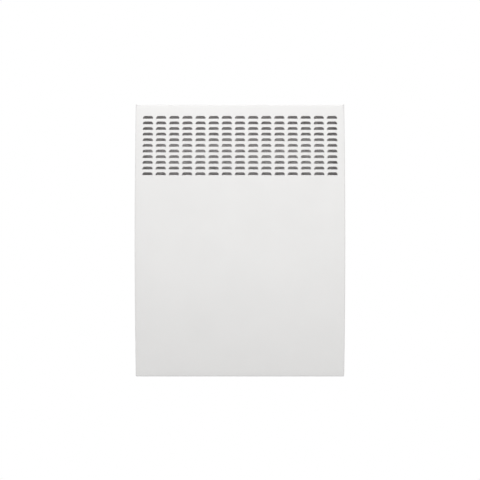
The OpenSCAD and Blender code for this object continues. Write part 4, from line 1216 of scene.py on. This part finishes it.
    def ears(self) -> Bench:
        """Models the corners of the front that stay upright outside the notches.

        Returns:
            Both corners, as one mesh.
        """
        wide = self.side_fold + self.notch / 2
        back = self.fold_y + self.fold
        low, high = self.height / 2 - 2 * self.fold, self.height / 2 + self.ear_rise
        ears = []
        for s in (-1, 1):
            ear, hollow = (
                self.corner_block(s, inset, wide, back, low - inset, high + inset)
                for inset in (0.0, self.sheet))
            ears.append(ear.cut(hollow))
        return Bench.joined(ears)

    def corner_block(self, s: int, inset: float, wide: float, back: float, low: float,
                     high: float) -> Bench:
        """Models a block behind the front's bow, rounded like the side fold.

        Args:
            s: 1 for the right side, -1 for the left.
            inset: how far the block's outer faces lie inside the casing's.
            wide: width of the ear.
            back: depth where the ear ends.
            low: height of the block's foot.
            high: height of its top.

        Returns:
            The block, curved like the front.
        """
        front = self.crown + inset
        outer = self.width / 2 - inset
        inner = outer - wide
        deep = back + inset - front
        block = Bench.slab("ear", (outer - inner, deep, high - low),
                           (s * (outer + inner) / 2, front + deep / 2, (low + high) / 2))
        block.edit("EDGE", lambda ends: all(
            abs(p.y - front) < SAME and abs(abs(p.x) - outer) < SAME for p in ends),
            bpy.ops.mesh.bevel, offset=self.side_fold - inset, segments=self.side_steps)
        edge = front + self.side_fold - inset + SAME

        def bent(p: Vector) -> Point:
            """Sets the front of the block back to the bow."""
            drop = self.bow - math.sqrt(self.bow ** 2 - p.z ** 2)
            return (p.x, p.y + drop if p.y < edge else p.y, p.z)

        return block.move_points(bent)

    def build(self) -> None:
        """Models, cuts and finishes the casing."""
        bench = self.skin()
        bench.modify("SOLIDIFY", thickness=self.sheet, offset=-1, use_even_offset=True)
        for make in (self.window_tool, self.notch_tools, self.inlet_tools, self.screw_tools):
            bench.cut(make())
        bench.cut(self.ears(), "UNION").smooth()
        self.shop.mount(bench, "heater", Finish.CASING, "casing_paint", "front_casing")


@dataclass
class BackAndBracket:
    """The back panel, the wall bracket and what stands between them."""

    shop: Workshop
    edge: float = 0.2 * MM
    lock_edge: float = 0.4 * MM
    head_edge: float = 0.35 * MM

    def build(self) -> None:
        """Eases and finishes each part."""
        shop = self.shop
        shop.dress(Finish.SHEET, "back_panel")
        shop.ease(Finish.BRACKET, self.edge, "bracket_upright_left", "bracket_upright_right",
                  "bracket_crossbar_upper", "bracket_crossbar_lower")
        shop.ease(Finish.OUTLET, self.lock_edge, "lock_left", "lock_right")
        shop.ease(Finish.ZINC, self.head_edge, "bracket_rivets", "casing_screws",
                  "deflector_screws", "bulkhead_screws", "control_screws", "outlet_screws", steps=3)


@dataclass
class CordOutlet:
    """The moulded cover on the back that the supply cord enters through."""

    shop: Workshop
    middle_x: float = 140 * MM
    low: float = -206.5 * MM
    rear: float = -20 * MM
    size: Point = (24 * MM, 15 * MM, 26 * MM)
    wall: float = 1.5 * MM
    floor: float = 8 * MM
    tab: Span = (9 * MM, 2.5 * MM)
    tab_corner: float = 2.6 * MM
    past: float = 1 * MM
    screw_in: float = 0.5 * MM
    screw_hole: float = 1.55 * MM
    bore: float = 5.05 * MM
    round_over: float = 2.2 * MM
    steps: int = 5
    sides: int = 40
    rib_levels: tuple[float, ...] = (0.3, 0.45, 0.6)
    rib_reach: float = 0.3
    rib_t: float = 0.6 * MM
    rib_sunk: float = 0.5 * MM
    bush_edge: float = 0.3 * MM

    def __post_init__(self) -> None:
        """Works out the cover's outer faces."""
        self.back = self.rear + self.size[1]
        self.top = self.low + self.size[2]

    def block(self, name: str, reach: float, y: Span, z: Span) -> Bench:
        """Adds a box that reaches equally far to both sides of the outlet's middle.

        Args:
            name: the new piece's name.
            reach: how far it goes to each side.
            y: its rear and front.
            z: its foot and top.

        Returns:
            The box.
        """
        return Bench.block(name, (self.middle_x - reach, y[0], z[0]),
                           (self.middle_x + reach, y[1], z[1]))

    def cover(self) -> Bench:
        """Models the cover with its rounded outer edges and its hollow.

        Returns:
            The cover.
        """
        half = self.size[0] / 2
        cover = self.block("cord_outlet_cover", half, (self.rear, self.back), (self.low, self.top))
        at_rear = at(1, self.rear)
        cover.edit("EDGE", lambda ends: not at_rear(ends), bpy.ops.mesh.bevel,
                   offset=self.round_over, segments=self.steps)
        return cover.cut(self.block(
            "hollow", half - self.wall, (self.rear - self.past, self.back - self.wall),
            (self.low + self.floor, self.top - self.wall)))

    def foot(self) -> Bench:
        """Models the plate whose two ends take the screws.

        Returns:
            The plate.
        """
        half = self.size[0] / 2
        end, thick = self.tab
        foot = self.block("foot", half + end, (self.rear, self.rear + thick),
                          (self.top - end, self.top))
        foot.round_along(1, self.tab_corner, self.steps)
        return foot.cut(self.block(
            "gap", half - self.wall, (self.rear - self.past, self.rear + 2 * thick),
            (self.top - end - self.past, self.top - self.wall)))

    def build(self) -> None:
        """Models and finishes the cover, and its bush."""
        cover = self.cover().cut(self.foot(), "UNION")
        end, thick = self.tab
        for side in (-1, 1):
            x = self.middle_x + side * ((self.size[0] + end) / 2 - self.screw_in)
            cover.cut(Bench.drill(self.sides, self.screw_hole, 4 * thick,
                                  (x, self.rear, self.top - end / 2), (math.pi / 2, 0, 0)))
        middle = (self.middle_x, self.rear + self.size[1] / 2, self.low)
        cover.cut(Bench.drill(self.sides, self.bore, 3 * self.floor, middle, (0, 0, 0)))
        for level in self.rib_levels:
            z = self.low + level * self.size[2]
            cover.cut(self.block(
                "grip_rib", self.size[0] * self.rib_reach,
                (self.back - self.rib_sunk, self.back + self.rib_t / 2), (z, z + 2 * self.rib_t)),
                "UNION")
        cover.clean().smooth(SHARP)
        self.shop.mount(cover, "heater", Finish.OUTLET, "outlet_grey", "cord_outlet")
        self.shop.ease(Finish.RUBBER, self.bush_edge, "cord_bush")


@dataclass
class WarmAirPath:
    """The element, the deflector and the cut-out inside the casing."""

    shop: Workshop

    def build(self) -> None:
        """Finishes each part."""
        shop = self.shop
        # The deflector is painted lighter than its galvanised sheet, as painted light for the dim
        # inside of the casing
        shop.dress(Finish.DUCT, "air_deflector")
        shop.dress(Finish.SHEET, "element_bracket_left", "element_bracket_right",
                   "control_bulkhead")
        shop.dress(Finish.FINS, "element_casting")
        shop.dress(Finish.ROD, "element_rod")
        shop.dress(Finish.CERAMIC, "element_insulators")
        shop.dress(Finish.BRASS, "element_tags")
        shop.dress(Finish.ZINC, "element_bracket_screws", "cutout_screws")
        shop.dress(Finish.BLACK, "thermal_cutout")
        shop.dress(Finish.RUBBER, "lead_grommet")


@dataclass
class Controls:
    """The control recess on the right, with its dial print, and the works behind it."""

    shop: Workshop
    floor_x: float = 163 * MM
    knob_place: Span = (-54.4 * MM, 66.04 * MM)
    dial_start: float = 135.0
    dial_travel: float = 270.0
    figures: int = 4
    figure_height: float = 3.4 * MM
    figure_ring: float = 20.4 * MM
    print_t: float = 0.03 * MM
    ticks: int = 10
    tick: Point = (0.2 * MM, 0.76 * MM, 2.16 * MM)
    tick_x: float = 162.85 * MM
    tick_ring: float = 17.1 * MM
    pointer: Point = (0.2 * MM, 1.1 * MM, 6.2 * MM)
    pointer_x: float = 172.45 * MM
    pointer_ring: float = 9.2 * MM
    slider_ends: Span = (27.04 * MM, 39.04 * MM)
    bar: Point = (0.06 * MM, 0.7 * MM, 3.2 * MM)
    bar_out: float = 8.6 * MM
    bar_apart: float = 0.9 * MM
    rocker_axis: Span = (157.5 * MM, -2.96 * MM)
    rocker_tilt: float = 9.0
    rocker_slope: float = 13.24
    mark_rise: float = 8.56 * MM
    mark_run: float = 4.4 * MM
    recess_edge: float = 0.25 * MM
    slider_edge: float = 0.2 * MM
    rocker_edge: float = 0.3 * MM
    lens_edge: float = 0.4 * MM

    def lettering(self, name: str, words: str, place: Point, body: str, lean: float = 0.0) -> None:
        """Prints a plain character on a face that looks to the right.

        Args:
            name: the new piece's name.
            words: what it says.
            place: its middle.
            body: the body that it moves with.
            lean: how far the face's upper end leans out, in degrees.
        """
        upright = Matrix(((0, 0, 1), (1, 0, 0), (0, 1, 0)))
        turn = Matrix.Rotation(math.radians(lean), 3, "Y") @ upright
        Bench.clear()
        bpy.ops.object.text_add(location=place, rotation=turn.to_euler())
        text = bpy.context.object
        text.name = name
        text.data.body = words
        text.data.size = self.figure_height
        text.data.align_x = "CENTER"
        text.data.align_y = "CENTER"
        text.data.extrude = self.print_t
        bpy.ops.object.convert(target="MESH")
        self.shop.mount(Bench(bpy.context.object).settle(), body, Finish.INK, "slider_dark")

    def spoke(self, name: str, size: Point, x: float, ring: float, degrees: float) -> Bench:
        """Models a bar that points out from the knob's axis.

        Args:
            name: the new piece's name.
            size: its thickness, width and length.
            x: where its middle lies along the axis.
            ring: how far its middle lies from the axis.
            degrees: its turn from straight up.

        Returns:
            The bar.
        """
        turn = Matrix.Rotation(math.radians(degrees), 3, "X")
        shift = Vector((x, *self.knob_place))
        return Bench.slab(name, size, (0, 0, ring)).move_points(lambda p: turn @ p + shift)

    def dial(self) -> None:
        """Prints plain numbers round the knob and fills its tick marks."""
        y, z = self.knob_place
        for i in range(self.figures):
            turn = math.radians(self.dial_start - i * self.dial_travel / (self.figures - 1))
            place = (self.floor_x, y - self.figure_ring * math.sin(turn),
                     z + self.figure_ring * math.cos(turn))
            self.lettering(f"dial_figure_{i + 1}", str(i + 1), place, "heater")
        ticks = Bench.joined([
            self.spoke("dial_ticks", self.tick, self.tick_x, self.tick_ring,
                       self.dial_start - i * self.dial_travel / (self.ticks - 1))
            for i in range(self.ticks)])
        self.shop.mount(ticks, "heater", Finish.INK, "slider_dark")

    def heat_bars(self) -> None:
        """Prints one bar beside the slider's lower end and two beside its upper end."""
        y = self.knob_place[0] - self.bar_out
        rows = zip(self.slider_ends, ((0.0,), (-self.bar_apart, self.bar_apart)))
        bars = Bench.joined([
            Bench.slab("heat_bars", self.bar, (self.floor_x, y + shift, z))
            for z, shifts in rows for shift in shifts])
        self.shop.mount(bars, "heater", Finish.INK, "slider_dark")

    def rocker_marks(self) -> None:
        """Moulds a line and a ring on the rocker's upper and lower faces."""
        tilt = math.radians(self.rocker_tilt)
        rise = self.mark_rise
        for name, words, side in (("mark_on", "I", 1), ("mark_off", "O", -1)):
            run = side * self.mark_run
            x = self.rocker_axis[0] + rise * math.cos(tilt) + run * math.sin(tilt)
            z = self.rocker_axis[1] - rise * math.sin(tilt) + run * math.cos(tilt)
            self.lettering(name, words, (x, self.knob_place[0], z), "rocker",
                           self.rocker_tilt + side * self.rocker_slope)

    def pointer_line(self) -> None:
        """Inlays the knob's pointer line, which points lower left at rest."""
        line = self.spoke("knob_pointer", self.pointer, self.pointer_x, self.pointer_ring,
                          self.dial_start)
        self.shop.mount(line, "knob", Finish.MARKING, "slider_dark")

    def build(self) -> None:
        """Finishes the controls and the works behind them."""
        shop = self.shop
        shop.ease(Finish.FASCIA, self.recess_edge, "control_fascia")
        shop.ease(Finish.KNOB, 0.0, "thermostat_knob")
        shop.ease(Finish.SLIDER, self.slider_edge, "mode_slider")
        shop.ease(Finish.KNOB, self.rocker_edge, "power_rocker")
        shop.ease(Finish.LENS, self.lens_edge, "pilot_lens", steps=3)
        shop.dress(Finish.ZINC, "thermostat_spindle", "board_screws", "terminal_screws")
        shop.dress(Finish.HOUSING, "control_housing")
        shop.dress(Finish.BOARD, "circuit_board")
        shop.dress(Finish.COMPONENT, "relay", "potentiometer", "mode_switch")
        shop.dress(Finish.BLACK, "rocker_switch", "room_sensor")
        shop.dress(Finish.CAPACITOR, "capacitor")
        shop.dress(Finish.LENS, "pilot_lamp")
        shop.dress(Finish.NYLON, "control_connector", "terminal_block", "sensor_clip")
        shop.dress(Finish.BRASS, "terminal_inserts", "earth_terminal")
        self.dial()
        self.heat_bars()
        self.rocker_marks()
        self.pointer_line()


@dataclass
class Wiring:
    """The internal leads, shaded smooth on their construction tubes."""

    shop: Workshop
    covers: dict[Finish, tuple[str, ...]] = field(default_factory=lambda: {
        Finish.BROWN: ("lead_live", "lead_switched", "lead_cutout"),
        Finish.BLUE: ("lead_element", "lead_neutral"),
        Finish.EARTH: ("lead_earth",),
        Finish.VINYL: ("lead_sensor",),
    })

    def build(self) -> None:
        """Finishes each lead."""
        for cover, nodes in self.covers.items():
            self.shop.ease(cover, 0.0, *nodes, angle=60)


@dataclass
class Studio:
    """A pale floor, soft light and a camera where the photograph was taken from."""

    camera_distance: float = 1870 * MM
    camera_height: float = 1.1 * MM
    lens: float = 85.4
    sensor: float = 36.0
    far: float = 50.0
    floor_size: float = 12.0
    floor_drop: float = 1.4
    paper: Span = (0.8, 0.84)
    ambient: float = 0.44
    lamps: tuple[tuple[str, Point, float, float], ...] = (
        ("key", (-0.2, -1.65, 1.95), 1.6, 28.0),
        ("fill", (0.3, -2.3, 0.0), 1.8, 10.5),
        ("rim", (0.3, 1.5, 1.6), 1.2, 9.0),
    )

    def backdrop_factor(self, tree: bpy.types.NodeTree) -> bpy.types.NodeSocket:
        """Adds a factor that is one for rays from the camera, a gloss or a clear part.

        Args:
            tree: the nodes that it is added to.

        Returns:
            The factor's socket.
        """
        rays = tree.nodes.new("ShaderNodeLightPath")
        total = rays.outputs["Is Camera Ray"]
        for other in ("Is Glossy Ray", "Is Transmission Ray"):
            add = tree.nodes.new("ShaderNodeMath")
            add.operation = "MAXIMUM"
            tree.links.new(total, add.inputs[0])
            tree.links.new(rays.outputs[other], add.inputs[1])
            total = add.outputs[0]
        return total

    def sky(self) -> None:
        """Makes a world that lights softly and shows white."""
        world = bpy.data.worlds.new("studio")
        bpy.context.scene.world = world
        world.use_nodes = True
        tree = world.node_tree
        back = tree.nodes["Background"]
        back.inputs["Color"].default_value = (1, 1, 1, 1)
        level = tree.nodes.new("ShaderNodeMapRange")
        level.inputs["To Min"].default_value = self.ambient
        level.inputs["To Max"].default_value = 1.0
        tree.links.new(self.backdrop_factor(tree), level.inputs["Value"])
        tree.links.new(level.outputs[0], back.inputs["Strength"])

    def floor(self) -> None:
        """Lays a pale floor below the heater, which hangs on a wall and rests on nothing."""
        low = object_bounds()[0].z - self.floor_drop
        bench = Bench.new(bpy.ops.mesh.primitive_plane_add, "studio_floor", size=self.floor_size,
                          location=(0, 0, low))
        shader = Shader("floor_paper", Roughness=0.9)
        tree = shader.tree
        glow = tree.nodes.new("ShaderNodeEmission")
        glow.inputs["Color"].default_value = (1, 1, 1, 1)
        blend = tree.nodes.new("ShaderNodeMixShader")
        dark, light = ((grey, grey, grey) for grey in self.paper)
        shader.paint(Base_Color=shader.mix(shader.noise(6 * MM, 3.0), dark, light))
        for index, source in enumerate((
                self.backdrop_factor(tree), shader.surface.outputs[0], glow.outputs[0])):
            tree.links.new(source, blend.inputs[index])
        tree.links.new(blend.outputs[0], tree.nodes["Material Output"].inputs["Surface"])
        bench.piece.data.materials.append(shader.material)
        bench.piece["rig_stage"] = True

    def lights(self) -> None:
        """Hangs the lamps, each aimed at the heater's middle."""
        for name, place, size, power in self.lamps:
            data = bpy.data.lights.new(name, "AREA")
            data.shape = "DISK"
            data.size = size
            data.energy = power
            lamp = bpy.data.objects.new(name, data)
            lamp.location = place
            lamp.rotation_euler = (-Vector(place)).to_track_quat("-Z", "Y").to_euler()
            bpy.context.scene.collection.objects.link(lamp)

    def camera(self, crown: float) -> None:
        """Sets the camera level with the heater, square to its front.

        Args:
            crown: how far forward the front comes.
        """
        data = bpy.data.cameras.new("camera")
        data.lens = self.lens
        data.sensor_width = self.sensor
        data.clip_end = self.far
        camera = bpy.data.objects.new("camera", data)
        camera.location = (0, crown - self.camera_distance, self.camera_height)
        camera.rotation_euler = (math.pi / 2, 0, 0)
        bpy.context.scene.collection.objects.link(camera)
        bpy.context.scene.camera = camera

    def build(self) -> None:
        """Sets the whole stage."""
        bpy.context.scene.view_settings.view_transform = "Standard"
        self.camera(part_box("front_casing")[0].y)
        self.sky()
        self.floor()
        self.lights()


def main() -> None:
    """Builds the stage and every sub-assembly."""
    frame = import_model()
    shop = Workshop(frame, Palette())
    Studio().build()
    for assembly in (Casing, BackAndBracket, CordOutlet, WarmAirPath, Controls, Wiring):
        assembly(shop).build()


if __name__ == "__main__":
    logging.basicConfig(level=logging.INFO, format="%(name)s: %(message)s")
    main()
